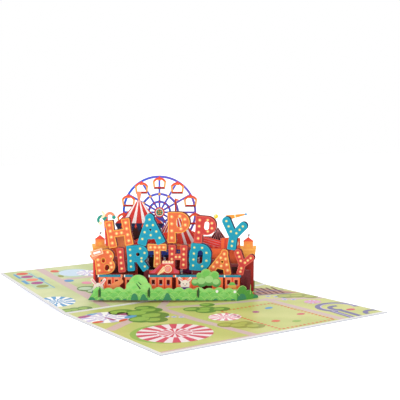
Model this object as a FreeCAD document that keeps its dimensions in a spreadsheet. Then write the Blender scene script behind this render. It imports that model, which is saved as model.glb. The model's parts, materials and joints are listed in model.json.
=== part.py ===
import FreeCAD, Part
import math
import os

import Sketcher

# Pop-up birthday card, open and lying on a table.
# Millimetres. X runs along the fold, +Y to the back leaf, +Z up, origin under the middle of the card.
# The front leaf lies flat, the back leaf rises a little, as a stiff new fold does.
# The pop-up is a slotted lattice of card sheets, turned on the fold and upright between the leaves.

Vector = FreeCAD.Vector
Rotation = FreeCAD.Rotation
Placement = FreeCAD.Placement

SIZES = {
    # Card: two leaves, one lining sheet on each
    "leaf_depth": 150.0,
    "fold_length": 200.0,
    "back_rise": 4.95,
    "cover_board": 0.8,
    "lining_paper": 0.3,
    "lining_margin": 2.6,
    "fold_gap": 2.4,
    # Lattice of the pop-up
    "card_paper": 0.35,
    "slot_clearance": 0.2,
    "foot_clearance": 0.15,
    "lattice_turn": 33.0,
    "rib_pitch": 40.7,
    "outer_layer": 20.2,
    "stall_layer": 15.0,
    "greeting_layer": 10.0,
    "facade_layer": 3.5,
    "carousel_layer": 2.5,
    "tent_layer": 9.0,
    "marquee_layer": 14.0,
    # Ribs: height of the top edge behind each group of layers
    "tongue_bottom": 5.2,
    "tongue_top": 11.2,
    "tongue_reach": 0.6,
    "stall_rib_top": 13.0,
    "greeting_rib_top": 20.0,
    "inner_rib_top": 32.0,
    # Glued ends of the two outer layers
    "flap_bend": 53.0,
    "flap_length": 21.6,
    "flap_height": 9.0,
    "foot_tab": 9.0,
    # Hedge and fence
    "hedge_reach": 70.5,
    "hedge_height": 11.6,
    "mound_radius": 4.7,
    "mound_rise": 1.7,
    "mound_pitch": 8.3,
    "fence_height": 12.5,
    # Row of stalls
    "stall_left": 66.0,
    "side_gap": 1.0,
    "counter_height": 9.5,
    "stall_eave": 20.8,
    "awning_height": 2.0,
    "awning_overhang": 0.8,
    "kiosk_left": 19.5,
    "kiosk_right": 5.5,
    "window_width": 2.6,
    "window_height": 4.0,
    # Greeting letters
    "top_stroke": 6.6,
    "bottom_stroke": 5.6,
    "corner_round": 1.1,
    "stem_flare": 1.14,
    "shadow_across": 1.0,
    "shadow_up": 0.7,
    "leg_width": 8.0,
    "tie_width": 2.4,
    # Castle facade
    "tower_width": 13.4,
    "turret_width": 8.0,
    "turret_height": 5.6,
    "tower_rise": 14.0,
    "left_tower": 61.5,
    "right_tower": 63.2,
    "wall_height": 40.0,
    "plinth_height": 18.0,
    "beam_height": 4.6,
    "arcade_post": 3.0,
    "merlon_width": 2.6,
    "merlon_height": 1.8,
    # Carousel
    "carousel_left": 24.0,
    "carousel_right": 38.0,
    "platform_height": 20.0,
    "band_bottom": 34.7,
    "band_top": 41.0,
    "post_width": 1.8,
    # Tents
    "tent_centre": -29.5,
    "tent_eave": 62.0,
    "tent_apex": 83.5,
    "tent_half_width": 20.5,
    "tent_wall_half_width": 16.5,
    "marquee_centre": 1.5,
    "marquee_eave": 46.8,
    "marquee_apex": 73.5,
    "marquee_half_width": 20.5,
    "tent_screen_top": 50.8,
    "small_tent_centre": 38.0,
    "small_tent_apex": 58.8,
    "small_tent_half_width": 7.6,
    # Ferris wheel
    "wheel_across": -12.6,
    "wheel_height": 70.7,
    "wheel_radius": 32.0,
    "middle_ring_radius": 16.9,
    "inner_ring_radius": 10.2,
    "ring_width": 2.0,
    "spoke_width": 1.7,
    "spoke_count": 12,
    "hub_radius": 4.5,
    "gondola_width": 11.9,
    "gondola_height": 10.7,
    "gondola_bar": 1.9,
    "frame_leg_width": 3.2,
    "frame_spread": 14.5,
}

doc = FreeCAD.newDocument("popup_card")
sizes = doc.addObject("Spreadsheet::Sheet", "sizes")
for row, (alias, value) in enumerate(SIZES.items(), start=1):
    sizes.set("A%d" % row, alias)
    sizes.set("B%d" % row, str(value))
    sizes.setAlias("B%d" % row, alias)
doc.recompute()


def size(alias):
    """Value of one named size."""
    return float(sizes.get(alias))


def value_of(expression):
    """Value of an expression on the named sizes, in millimetres."""
    return float(sizes.evalExpression(expression))


# Frames of reference, worked out from the sizes

half_rise = math.radians(size("back_rise")) / 2
turn = math.radians(size("lattice_turn"))
paper = size("card_paper")
slot = paper + size("slot_clearance")
# The origin lies under the middle of the open card, so the fold stands a little behind it.
FOLD_Y = "(sizes.leaf_depth * (1 - cos(sizes.back_rise)) - sizes.cover_board * sin(sizes.back_rise)) / 2"
fold_y = value_of(FOLD_Y)

on_lining = Placement(Vector(0, 0, size("lining_paper")), Rotation())
front_leaf = Placement(Vector(0, fold_y, size("cover_board")), Rotation()) * on_lining
back_turn = Rotation(Vector(1, 0, 0), size("back_rise"))
back_leaf = Placement(Vector(0, fold_y, size("cover_board")), back_turn) * on_lining
upright = Placement(Vector(0, fold_y, size("cover_board") + size("lining_paper") / math.cos(half_rise)),
                    Rotation(Vector(1, 0, 0), size("back_rise") / 2))
lattice = upright * Placement(Vector(), Rotation(Vector(0, 0, 1), -size("lattice_turn")))

# Distance of both glued flaps from the fold, and the height of the leaf there
FLAP_LINE = "(sizes.flap_bend * sin(sizes.lattice_turn) + sizes.outer_layer * cos(sizes.lattice_turn))"
LEAF_HEIGHT = FLAP_LINE + " * tan(sizes.back_rise / 2)"
FOOT = "(%s + sizes.card_paper + sizes.foot_clearance)" % LEAF_HEIGHT
flap_line = value_of(FLAP_LINE)
leaf_height = value_of(LEAF_HEIGHT)
foot = value_of(FOOT)
rib_places = [(index - 1.5) * size("rib_pitch") for index in range(4)]
outer = size("outer_layer")

nodes = []


def flap_reach(depth):
    """Distance across at which a glued flap meets a layer that far from the middle."""
    return size("flap_bend") + (outer - depth) / math.tan(turn)


# Outlines in the plane of a sheet: X across, Z up

def at(across, up):
    return Vector(across, 0, up)


def face_of(points):
    """Face inside the points, wound the same way for every face, so that joined faces merge."""
    pairs = zip(points, points[1:] + points[:1])
    if sum(first.x * second.z - second.x * first.z for first, second in pairs) < 0:
        points = points[::-1]
    return Part.Face(Part.makePolygon(points + [points[0]]))


def polygon(*corners):
    return face_of([at(*corner) for corner in corners])


def box(left, bottom, right, top):
    return polygon((left, bottom), (right, bottom), (right, top), (left, top))


def disc(across, up, radius):
    circle = Part.Circle(at(across, up), Vector(0, -1, 0), radius)
    return Part.Face(Part.Wire(circle.toShape()))


def ring(across, up, radius, width):
    return disc(across, up, radius).cut(disc(across, up, radius - width))


def bar(start, end, width, end_width=None):
    """Straight stroke with square ends, which may taper."""
    end_width = width if end_width is None else end_width
    along = (at(*end) - at(*start)).normalize()
    side = Vector(-along.z, 0, along.x)
    corners = [
        at(*start) + side * width / 2,
        at(*end) + side * end_width / 2,
        at(*end) - side * end_width / 2,
        at(*start) - side * width / 2,
    ]
    return face_of(corners)


def pill(start, end, width):
    """Straight stroke with round ends."""
    along = (at(*end) - at(*start)).normalize() * width / 2
    side = Vector(-along.z, 0, along.x)
    first, last = at(*start), at(*end)
    edges = [
        Part.makeLine(first - side, last - side),
        Part.Arc(last - side, last + along, last + side).toShape(),
        Part.makeLine(last + side, first + side),
        Part.Arc(first + side, first - along, first - side).toShape(),
    ]
    return Part.Face(Part.Wire(edges))


def curl(across, up, radius, width, first, last):
    """Stroke along an arc, from the first angle to the last, in degrees."""
    middle = (first + last) / 2
    edges = []
    for edge_radius, angles in ((radius + width / 2, (first, middle, last)),
                                (radius - width / 2, (last, middle, first))):
        points = [at(across + edge_radius * math.cos(math.radians(angle)),
                     up + edge_radius * math.sin(math.radians(angle))) for angle in angles]
        edges.append((points, Part.Arc(*points).toShape()))
    outside, inside = edges
    links = [Part.makeLine(outside[0][2], inside[0][0]), Part.makeLine(inside[0][2], outside[0][0])]
    return Part.Face(Part.Wire([outside[1], links[0], inside[1], links[1]]))


def union(outlines):
    """Outlines joined into one, all of them facing the viewer."""
    faces = [face if face.normalAt(0, 0).y < 0 else face.reversed()
             for outline in outlines for face in outline.Faces]
    joined = faces[0].multiFuse(faces[1:]) if len(faces) > 1 else faces[0]
    return joined.removeSplitter()


def rounded(outlines, radius):
    """Joined outline, grown by the radius, so that its outer corners are round."""
    return union([face.makeOffset2D(radius) for face in union(outlines).Faces])


def turned(face, across, up, tilt):
    """Outline drawn about the origin, tilted and moved to its place on the sheet."""
    moved = face.copy()
    moved.Placement = Placement(at(across, up), Rotation(Vector(0, -1, 0), tilt)) * moved.Placement
    return moved


# Slots, where sheets and ribs pass through each other

def rib_top_at(rib, depth):
    """Top edge of a rib at a layer: low in front, and high in the middle of the two inner ribs."""
    if depth < -(size("stall_layer") + size("greeting_layer")) / 2:
        return size("stall_rib_top")
    if rib in (0, 3) or depth < -(size("greeting_layer") + size("facade_layer")) / 2:
        return size("greeting_rib_top")
    return size("inner_rib_top")


def rib_slots(ribs, depth):
    """Slots from a sheet's lower edge to half the height of each rib that it crosses."""
    half = slot / 2
    return [box(rib_places[rib] - half, -1, rib_places[rib] + half, (foot + rib_top_at(rib, depth)) / 2)
            for rib in ribs]


def tongue_slits(ribs):
    """Closed slits of an outer layer, for the ribs' tongues."""
    spare = size("slot_clearance") / 2
    return [box(rib_places[rib] - slot / 2, size("tongue_bottom") - spare,
                rib_places[rib] + slot / 2, size("tongue_top") + spare) for rib in ribs]


# Pieces

def add_piece(label, shape, place):
    piece = doc.addObject("Part::Feature", label)
    piece.Shape = shape
    piece.Placement = place
    piece.Label = label
    nodes.append(piece)
    return piece


def sheet_solid(faces, holes=()):
    """Flat sheet of card: joined outlines, less the holes, one paper thick towards +Y."""
    outline = union(faces)
    if holes:
        outline = outline.cut(list(holes))
    return outline.extrude(Vector(0, paper, 0))


def add_sheet(label, faces, holes, depth):
    """Sheet whose front face stands at a depth in the lattice."""
    shape = sheet_solid(faces, holes)
    return add_piece(label, shape, lattice * Placement(Vector(0, depth, 0), Rotation()))


def moved_into(shape, own_frame, other_frame):
    """Shape drawn in another frame, given in its piece's own frame."""
    return shape.transformGeometry((own_frame.inverse() * other_frame).toMatrix())


def add_outline_body(label, plane, corners, thickness, place):
    """Body padded both ways from one closed sketch, each corner bound to the sizes."""
    body = doc.addObject("PartDesign::Body", label)
    body.Label = label
    sketch = body.newObject("Sketcher::SketchObject", label + "_outline")
    support = [feature for feature in body.Origin.OriginFeatures if feature.Role == plane][0]
    sketch.AttachmentSupport = (support, [""])
    sketch.MapMode = "FlatFace"
    values = [(value_of(across), value_of(up)) for across, up in corners]
    for index, start in enumerate(values):
        end = values[(index + 1) % len(values)]
        sketch.addGeometry(Part.LineSegment(Vector(*start, 0), Vector(*end, 0)), False)
    for index, corner in enumerate(corners):
        sketch.addConstraint(Sketcher.Constraint("Coincident", (index - 1) % len(corners), 2, index, 1))
        for kind, value, text in zip(("DistanceX", "DistanceY"), values[index], corner):
            number = sketch.addConstraint(Sketcher.Constraint(kind, -1, 1, index, 1, value))
            sketch.setExpression("Constraints[%d]" % number, text)
    pad = body.newObject("PartDesign::Pad", label + "_pad")
    pad.Profile = sketch
    pad.SideType = "Symmetric"
    pad.setExpression("Length", thickness)
    body.Placement = place
    nodes.append(body)
    return body


def add_ribs():
    """Four ribs on edge across the layers, notched from above, with a tongue at each outer layer."""
    layer_ribs = (
        ("-sizes.stall_layer", (0, 1, 2)),
        ("-sizes.greeting_layer", (0, 1, 2, 3)),
        ("-sizes.facade_layer", (0, 1, 2, 3)),
        ("sizes.carousel_layer", (1, 2)),
        ("sizes.tent_layer", (1, 2)),
        ("sizes.marquee_layer", (1, 2)),
    )
    # Steps up in the top edge, in front of the greeting and of the facade
    steps = {
        "-sizes.greeting_layer": ("-(sizes.stall_layer + sizes.greeting_layer) / 2",
                                  "sizes.greeting_rib_top"),
        "-sizes.facade_layer": ("-(sizes.greeting_layer + sizes.facade_layer) / 2", "sizes.inner_rib_top"),
    }
    half_slot = "(sizes.card_paper + sizes.slot_clearance) / 2"
    wall = "(sizes.outer_layer - sizes.card_paper - sizes.slot_clearance / 2)"
    tip = "(sizes.outer_layer + sizes.tongue_reach)"
    flap = ("(sizes.outer_layer - (1.5 * sizes.rib_pitch - sizes.flap_bend) * tan(sizes.lattice_turn)"
            " - (sizes.card_paper + sizes.slot_clearance) / cos(sizes.lattice_turn)"
            " - sizes.card_paper / 2 * tan(sizes.lattice_turn))")
    for index, place in enumerate(rib_places):
        front_end = flap if index == 3 else wall
        back_end = flap if index == 0 else wall
        corners = [("-" + front_end, FOOT)]
        if index < 3:
            corners += [("-" + front_end, "sizes.tongue_bottom"), ("-" + tip, "sizes.tongue_bottom"),
                        ("-" + tip, "sizes.tongue_top"), ("-" + front_end, "sizes.tongue_top")]
        top = "sizes.stall_rib_top"
        corners.append(("-" + front_end, top))
        for depth, ribs in layer_ribs:
            if index not in ribs:
                continue
            if depth in steps and not (index in (0, 3) and depth == "-sizes.facade_layer"):
                step, next_top = steps[depth]
                corners += [(step, top), (step, next_top)]
                top = next_top
            lap = "(%s + %s) / 2" % (FOOT, top)
            middle = "%s + sizes.card_paper / 2" % depth
            corners += [("%s - %s" % (middle, half_slot), top), ("%s - %s" % (middle, half_slot), lap),
                        ("%s + %s" % (middle, half_slot), lap), ("%s + %s" % (middle, half_slot), top)]
        corners.append((back_end, top))
        if index > 0:
            corners += [(back_end, "sizes.tongue_top"), (tip, "sizes.tongue_top"),
                        (tip, "sizes.tongue_bottom"), (back_end, "sizes.tongue_bottom")]
        corners.append((back_end, FOOT))
        frame = lattice * Placement(Vector(place, 0, 0), Rotation(Vector(0, 0, 1), 90))
        add_outline_body("rib_%d" % (index + 1), "XZ_Plane", corners, "sizes.card_paper", frame)


def glued_end(side, leaf):
    """Flap that follows the fold at the end of an outer layer, with its tab glued flat on the leaf.

    side is -1 for the front leaf and 1 for the back leaf."""
    length = size("flap_length")
    height = size("flap_height")
    base = leaf_height + paper / 2
    mounds = [disc(length * share, height * rise, length * spread)
              for share, rise, spread in ((0.24, 0.95, 0.24), (0.56, 0.62, 0.2), (0.78, 0.2, 0.16))]
    slope = polygon((0, base), (length, base), (length, 0.3 * height), (0.6 * length, height), (0, height))
    outline = union([slope] + mounds)
    flap = outline.common(box(0, base, length, 2 * size("hedge_height")))
    flap = flap.extrude(Vector(0, paper, 0))
    bend_across = size("flap_bend") * math.cos(turn) - outer * math.sin(turn)
    tab_corner = Vector(bend_across, -flap_line / math.cos(half_rise), 0)
    tab = Part.makeBox(length, size("foot_tab"), paper, tab_corner)
    half_turn = Placement(Vector(), Rotation(Vector(0, 0, 1), 180 if side > 0 else 0))
    at_bend = Placement(Vector(bend_across, -flap_line, 0), Rotation())
    return [(flap, upright * half_turn * at_bend), (tab, leaf * half_turn)]


def add_outer_layer(label, faces, holes, depth, side, leaf):
    """Outer layer of the lattice: its sheet, flap and foot tab are one folded piece."""
    frame = lattice * Placement(Vector(0, depth, 0), Rotation())
    parts = [moved_into(shape, frame, other) for shape, other in glued_end(side, leaf)]
    shape = sheet_solid(faces, holes).fuse(parts).removeSplitter()
    return add_piece(label, shape, frame)


def add_card():
    """Folded cover board and the two lining sheets glued inside it."""
    rise = "sizes.back_rise"
    corners = [
        (FOLD_Y + " - sizes.leaf_depth", "0"),
        (FOLD_Y, "0"),
        (FOLD_Y + " + sizes.cover_board * sin(%s)" % rise, "sizes.cover_board * (1 - cos(%s))" % rise),
        (FOLD_Y + " + sizes.cover_board * sin(%s) + sizes.leaf_depth * cos(%s)" % (rise, rise),
         "sizes.cover_board * (1 - cos(%s)) + sizes.leaf_depth * sin(%s)" % (rise, rise)),
        (FOLD_Y + " + sizes.leaf_depth * cos(%s)" % rise,
         "sizes.cover_board + sizes.leaf_depth * sin(%s)" % rise),
        (FOLD_Y, "sizes.cover_board"),
        (FOLD_Y + " - sizes.leaf_depth", "sizes.cover_board"),
    ]
    add_outline_body("cover", "YZ_Plane", corners, "sizes.fold_length", Placement())
    under = Placement(Vector(0, 0, -size("lining_paper")), Rotation())
    half_width = size("fold_length") / 2 - size("lining_margin")
    depth = size("leaf_depth") - size("lining_margin") - size("fold_gap")
    for label, leaf, start in (("front_lining", front_leaf, -size("fold_gap") - depth),
                               ("back_lining", back_leaf, size("fold_gap"))):
        lining = doc.addObject("Part::Box", label)
        lining.Label = label
        lining.setExpression("Length", "sizes.fold_length - 2 * sizes.lining_margin")
        lining.setExpression("Width", "sizes.leaf_depth - sizes.lining_margin - sizes.fold_gap")
        lining.setExpression("Height", "sizes.lining_paper")
        lining.Placement = leaf * under * Placement(Vector(-half_width, start, 0), Rotation())
        nodes.append(lining)


def add_hedge():
    """Clipped hedge along the front, with one round bush, ending in a flap on the front leaf."""
    left = -size("hedge_reach")
    right = size("flap_bend")
    height = size("hedge_height")
    radius = size("mound_radius")
    count = int((right - left - radius) / size("mound_pitch"))
    inside = left + 1.4 * radius
    faces = [box(inside, foot, right, height),
             polygon((left, foot), (inside, foot), (inside, height), (left + 0.3 * radius, 0.35 * height),
                     (left, 0.15 * height))]
    for index in range(count):
        across = left + 2 * radius + index * size("mound_pitch")
        faces.append(disc(across, height + size("mound_rise") - radius + 0.3 * (-1) ** index, radius))
    bush = -0.4 * size("hedge_reach")
    faces += [disc(bush, 1.37 * height, 1.7 * radius), disc(bush - 5.5, 1.18 * height, radius),
              disc(bush + 6.2, 1.11 * height, radius)]
    outline = union(faces).common(box(left, foot, right, 4 * height))
    add_outer_layer("hedge", [outline], tongue_slits((0, 1, 2)), -outer, -1, front_leaf)


def add_stalls():
    """Row of fairground stalls with awnings, behind the hedge."""
    left = -size("stall_left")
    counter = size("counter_height")
    eave = size("stall_eave")
    right = flap_reach(size("stall_layer")) - size("side_gap")
    faces = [box(left, foot, right, counter)]
    windows = []
    over = size("awning_overhang")
    # Board behind the kiosk roof
    faces.append(box(over - size("kiosk_left"), eave, size("kiosk_right") - over, eave + 5.0))
    for start, end, count in ((-61.5, -43.8, 3), (-39.7, -33.9, 1), (-19.3, -0.6, 3), (2.7, 22.6, 3),
                              (32.6, 41.7, 1), (43.4, 55.8, 2)):
        faces.append(box(start, counter, end, eave))
        faces.append(box(start - over, eave, end + over, eave + size("awning_height")))
        for index in range(count):
            middle = start + (index + 0.5) * (end - start) / count
            half = size("window_width") / 2
            sill = (counter + eave - size("window_height")) / 2 + 1.5
            windows.append(box(middle - half, sill, middle + half, sill + size("window_height")))
    depth = -size("stall_layer")
    add_sheet("stalls", faces, windows + rib_slots((0, 1, 2), depth), depth)


def add_trim():
    """Small die-cut pieces glued to the faces of the stalls and the greeting."""
    over_stalls = -size("stall_layer") - paper
    over_greeting = -size("greeting_layer") - paper
    behind_greeting = -size("greeting_layer") + paper
    eave = size("stall_eave")
    relief = [box(place - slot / 2, -1, place + slot / 2, size("stall_rib_top") + size("slot_clearance"))
              for place in rib_places]

    left = -size("kiosk_left")
    right = size("kiosk_right")
    roof = polygon((left, eave + 2.0), (right, eave + 2.0), (right, eave + 5.6), (right - 3.1, eave + 6.6),
                   (right - 5.1, eave + 12.8), (left + 10.9, eave + 12.8), (left + 6.1, eave + 6.2),
                   (left, eave + 5.6))
    scallops = [disc(left + 11.9 + 2.4 * index, eave + 12.9, 1.3) for index in range(4)]
    add_sheet("kiosk_roof", [roof] + scallops, (), over_stalls)
    add_sheet("ice_cream", [bar((-12.6, eave + 2.2), (-6.3, eave + 7.6), 0.8, 4.6),
                            disc(-4.0, eave + 7.2, 3.4)], (), over_stalls - paper)

    # Label, middle across, middle up, head radius, spread and rise of the ears
    for label, across, up, head, lean, lift in (("left_rabbit", -61.8, 11.6, 4.3, 5.2, 2.8),
                                                ("middle_rabbit", 10.2, 14.8, 3.8, 4.6, 1.4)):
        ears = [pill((across + side * 1.7, up + head / 2), (across + side * lean, up + head + lift), 2.4)
                for side in (-1, 1)]
        collar = box(across - head, up - head - 1.2, across + head, up - head / 2)
        add_sheet(label, ears + [disc(across, up, head), collar], relief, over_stalls)

    crowns = ((18.6, 16.8, 3.1), (24.0, 17.2, 4.6), (30.4, 18.6, 5.0), (36.2, 16.6, 4.0),
              (27.6, 23.6, 4.4), (34.6, 22.4, 3.8), (22.2, 22.2, 2.6))
    add_sheet("bushes", [disc(*crown) for crown in crowns], relief, over_stalls)

    ticket = rounded([box(-4.6, -2.1, 4.6, 2.1)], 0.6)
    stub = rounded([box(-4.2, -1.9, 4.2, 1.9)], 0.6)
    tickets = [turned(ticket, -63.4, 40.6, 17.0), turned(stub, -64.6, 38.9, 38.0)]
    add_sheet("ticket", tickets, (), over_greeting)

    add_sheet("jester_staff", [
        bar((-54.6, 46.0), (-55.8, 71.2), 2.8, 3.6),
        curl(-52.2, 70.4, 3.2, 2.4, 0.0, 180.0), disc(-49.0, 70.2, 1.6),
        bar((-55.6, 68.4), (-59.0, 71.1), 4.2, 2.2),
        curl(-58.8, 67.9, 3.2, 2.2, 90.0, 240.0), disc(-60.3, 65.2, 1.5),
        curl(-59.4, 72.4, 2.3, 1.7, -90.0, 90.0),
    ], (), behind_greeting)
    horn = [bar((44.4, 70.0), (60.0, 72.9), 4.4, 1.2), disc(60.6, 73.0, 1.0)]
    add_sheet("party_horn", horn, (), behind_greeting)
    add_sheet("balloon", [disc(35.8, 71.2, 1.8), bar((33.2, 63.0), (35.6, 70.4), 0.8)], (), behind_greeting)


def glyph(letter, width, height, stroke):
    """Strokes and counters of one block letter, drawn about its own middle."""
    across = (width - stroke) / 2
    up = height / 2
    flare = size("stem_flare")

    def stem_at(place, low=-up, high=up):
        middle = (low + high) / 2
        return [bar((place, middle), (place, end), stroke / flare, flare * stroke) for end in (low, high)]

    def bowl(radius, centre):
        right = width / 2 - radius
        return [disc(right, centre, radius), box(-across, centre, right, min(up, centre + radius)),
                box(-across, max(-up, centre - radius), right, centre)]

    if letter == "H":
        return stem_at(-across) + stem_at(across) + [bar((-across, 0), (across, 0), 0.85 * stroke)], []
    if letter == "A":
        peak = up - stroke / 2
        legs = [bar((side * across, -up), (0, peak), 1.2 * stroke, 0.85 * stroke) for side in (-1, 1)]
        cross = bar((-0.55 * across, -0.42 * up), (0.55 * across, -0.42 * up), stroke)
        return legs + [disc(0, peak, 0.6 * stroke), cross], [disc(0, -0.02 * up, 0.9)]
    if letter == "P":
        radius = 0.325 * height
        middle = width / 2 - radius
        hole = pill((middle, up - 1.24 * radius), (middle, up - 0.76 * radius), 0.56 * radius)
        return stem_at(-across) + bowl(radius, up - radius), [hole]
    if letter == "R":
        radius = 0.31 * height
        leg = bar((0, up - 1.6 * radius), (across, -up), stroke, flare * stroke)
        hole = disc(0.02 * width, up - 1.1 * radius, 0.26 * radius)
        return stem_at(-across) + [leg] + bowl(radius, up - radius), [hole]
    if letter == "B":
        upper, lower = 0.25 * height, 0.30 * height
        holes = [pill((-0.07 * width, 0.08 * up), (-0.07 * width, 0.2 * up), 0.2 * width),
                 pill((0.07 * width, -0.62 * up), (0.1 * width, -0.48 * up), 0.26 * width)]
        return stem_at(-across) + bowl(upper, up - upper) + bowl(lower, lower - up), holes
    if letter == "D":
        radius = 0.39 * height
        reach = up - radius
        return (stem_at(-across) + bowl(radius, reach) + bowl(radius, -reach),
                [pill((width / 2 - radius, 1.6 * reach), (width / 2 - radius, -1.6 * reach), 0.56 * radius)])
    if letter == "T":
        top = up - stroke / 2
        halves = [bar((0, top), (side * width / 2, top), stroke / flare, flare * stroke) for side in (-1, 1)]
        return halves + stem_at(0), []
    if letter == "I":
        return stem_at(0), []
    fork = (0, -0.18 * up)
    tips = [(-across, up - stroke / 2), (0.9 * across, up - stroke / 2 - 0.1 * height)]
    arms = [bar(tip, fork, flare * stroke, stroke) for tip in tips]
    ends = [disc(tip[0], tip[1], flare * stroke / 2) for tip in tips]
    return arms + ends + [bar(fork, (0, -up), stroke, flare * stroke), disc(fork[0], fork[1], stroke / 2)], []


def add_greeting():
    """Two rows of block letters cut from one sheet, on legs that slot into the ribs."""
    # Letter, middle across, middle up, width, height, tilt in degrees
    top_row = (
        ("H", -44.8, 57.0, 20.4, 22.8, 9.0),
        ("A", -18.8, 60.2, 22.6, 25.2, 4.0),
        ("P", 4.9, 61.8, 18.4, 26.0, 0.0),
        ("P", 27.0, 59.8, 17.4, 23.0, -4.6),
        ("Y", 50.4, 56.4, 21.6, 26.6, -8.0),
    )
    bottom_row = (
        ("B", -57.0, 32.7, 16.4, 20.8, 7.0),
        ("I", -43.4, 34.1, 6.4, 20.8, 5.0),
        ("R", -29.4, 36.0, 17.6, 21.6, 3.0),
        ("T", -13.2, 38.0, 15.8, 19.8, 0.0),
        ("H", 4.0, 37.0, 15.4, 20.2, -1.5),
        ("D", 23.1, 36.8, 17.2, 22.8, -4.0),
        ("A", 41.2, 33.2, 19.2, 20.6, -14.0),
        ("Y", 58.2, 32.0, 17.8, 20.6, -14.0),
    )
    corner = size("corner_round")
    shadow = (size("shadow_across"), size("shadow_up"))
    faces = []
    counters = []
    for row, stroke in ((top_row, size("top_stroke")), (bottom_row, size("bottom_stroke"))):
        for letter, across, up, width, height, tilt in row:
            strokes, holes = glyph(letter, width - 2 * corner, height - 2 * corner, stroke - 2 * corner)
            face = rounded(strokes, corner)
            for shift_across, shift_up in ((0, 0), shadow):
                faces.append(turned(face, across + shift_across, up + shift_up, tilt))
            counters += [turned(hole, across, up, tilt) for hole in holes]
    # Short ties of card where neighbouring letters would not quite touch
    ties = (((-8.0, 49.4), (-1.0, 50.4)), ((-1.0, 50.0), (-1.0, 45.5)), ((-7.0, 45.2), (-2.0, 45.2)),
            ((9.5, 44.0), (18.0, 44.0)), ((43.5, 41.0), (49.5, 45.0)), ((49.0, 45.0), (54.0, 40.6)),
            ((-50.0, 36.0), (-43.0, 36.0)), ((-43.0, 32.6), (-35.0, 32.6)), ((29.0, 33.6), (38.0, 33.6)),
            ((44.0, 30.0), (56.0, 30.0)))
    faces += [bar(start, end, size("tie_width")) for start, end in ties]
    knee = size("greeting_rib_top") + 6
    half_leg = size("leg_width") / 2
    legs = [box(place - half_leg, foot, place + half_leg, knee) for place in rib_places]
    depth = -size("greeting_layer")
    add_sheet("greeting", faces + legs, counters + rib_slots((0, 1, 2, 3), depth), depth)


def tower(middle, base, top):
    """Castle tower: flared block with merlons, turret, cone roof and flag."""
    half = size("tower_width") / 2
    turret = size("turret_width") / 2
    merlon = size("merlon_width")
    rise = size("merlon_height")
    turret_top = top + size("turret_height")
    roof_top = turret_top + 3.6
    faces = [
        polygon((middle - half + 1.6, base), (middle + half - 1.6, base),
                (middle + half, top), (middle - half, top)),
        box(middle - turret, top - 1, middle + turret, turret_top),
        polygon((middle - turret - 0.8, turret_top - 0.1), (middle + turret + 0.8, turret_top - 0.1),
                (middle, roof_top)),
        box(middle - 0.3, roof_top - 1, middle + 0.3, roof_top + 2.4),
        polygon((middle, roof_top + 0.9), (middle + 2.4, roof_top + 1.7), (middle, roof_top + 2.4)),
    ]
    for share in (-1, 1):
        edge = middle + share * (half - merlon / 2)
        faces.append(box(edge - merlon / 2, top - 0.5, edge + merlon / 2, top + rise))
    return faces


def add_facade():
    """Castle wall with a tower at each end and a wide opening in front of the carousel."""
    left = -size("left_tower")
    right = size("right_tower")
    half = size("tower_width") / 2
    wall = size("wall_height")
    depth = -size("facade_layer")
    base = wall - size("tower_rise") / 2
    faces = [box(left - half + 0.6, foot, left + half - 1.8, wall),
             box(right - half + 1.8, foot, right + half - 1.8, wall)]
    faces.append(box(left, foot, right, size("plinth_height")))
    faces += tower(left, base, wall + 5.2)
    faces += tower(right, base, wall + 3.8)
    # Inner walls, left and right of the opening, with merlons
    merlon = size("merlon_width")
    for start, end, top in ((left, -30.0, wall + 4.0), (26.0, right, wall + 3.0)):
        faces.append(box(start, foot, end, top))
        count = int((end - start) / (2 * merlon))
        for index in range(count):
            edge = start + (2 * index + 0.5) * merlon
            faces.append(box(edge, top - 0.5, edge + merlon, top + size("merlon_height")))
    # Beam over the opening, on a post in its middle
    post = size("arcade_post")
    faces.append(box(-32.0, wall + 2.0, 28.0, wall + 2.0 + size("beam_height")))
    faces.append(box(-2.0 - post / 2, size("plinth_height") - 1, -2.0 + post / 2, wall + 3.0))
    # Gable between the first two letters, and a flat one at the right
    for start, end, top, rise in ((-51.0, -35.0, wall + 12.5, 3.0), (40.0, 56.5, wall + 12.0, 0.6)):
        ridge = ((start + end) / 2, top + rise)
        faces.append(polygon((start, wall), (end, wall), (end, top), ridge, (start, top)))
    add_sheet("castle_facade", faces, rib_slots((0, 1, 2, 3), depth), depth)


def add_carousel():
    """Merry-go-round: peaked roof, band, posts, two plain horses and platform."""
    left = -size("carousel_left")
    right = size("carousel_right")
    platform = size("platform_height")
    bottom = size("band_bottom")
    top = size("band_top")
    depth = size("carousel_layer")
    half_post = size("post_width") / 2
    faces = [
        box(left, foot, right, platform),
        box(left, bottom, right, top),
        polygon((left - 13.0, top - 1.0), (right + 4.0, top - 1.0), (right + 4.0, top + 7.4),
                (24.0, top + 12.0), (23.0, top + 1.0), (8.0, top + 1.0), (7.0, top + 13.6),
                (-6.0, top + 15.0), (-20.0, top + 12.0), (left - 7.0, top + 9.0),
                (left - 13.0, top + 5.4)),
    ]
    posts = [left + 2.0 + (right - left - 4.0) * index / 4 for index in range(5)]
    faces += [box(post - half_post, platform - 1, post + half_post, bottom + 1) for post in posts]
    for post in (posts[1], posts[3]):
        saddle = platform + 7.5
        faces += [
            pill((post - 4.4, saddle), (post + 4.0, saddle), 3.6),
            bar((post + 3.6, saddle), (post + 6.4, saddle + 4.6), 2.6, 1.8),
            pill((post + 6.0, saddle + 4.6), (post + 8.2, saddle + 3.4), 1.8),
            bar((post - 4.6, saddle), (post - 5.6, platform - 0.5), 1.4, 1.0),
            bar((post + 3.6, saddle), (post + 5.0, platform - 0.5), 1.4, 1.0),
            bar((post - 5.0, saddle + 0.6), (post - 8.0, saddle - 3.0), 1.6, 0.8),
        ]
    add_sheet("carousel", faces, rib_slots((1, 2), depth), depth)


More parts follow.
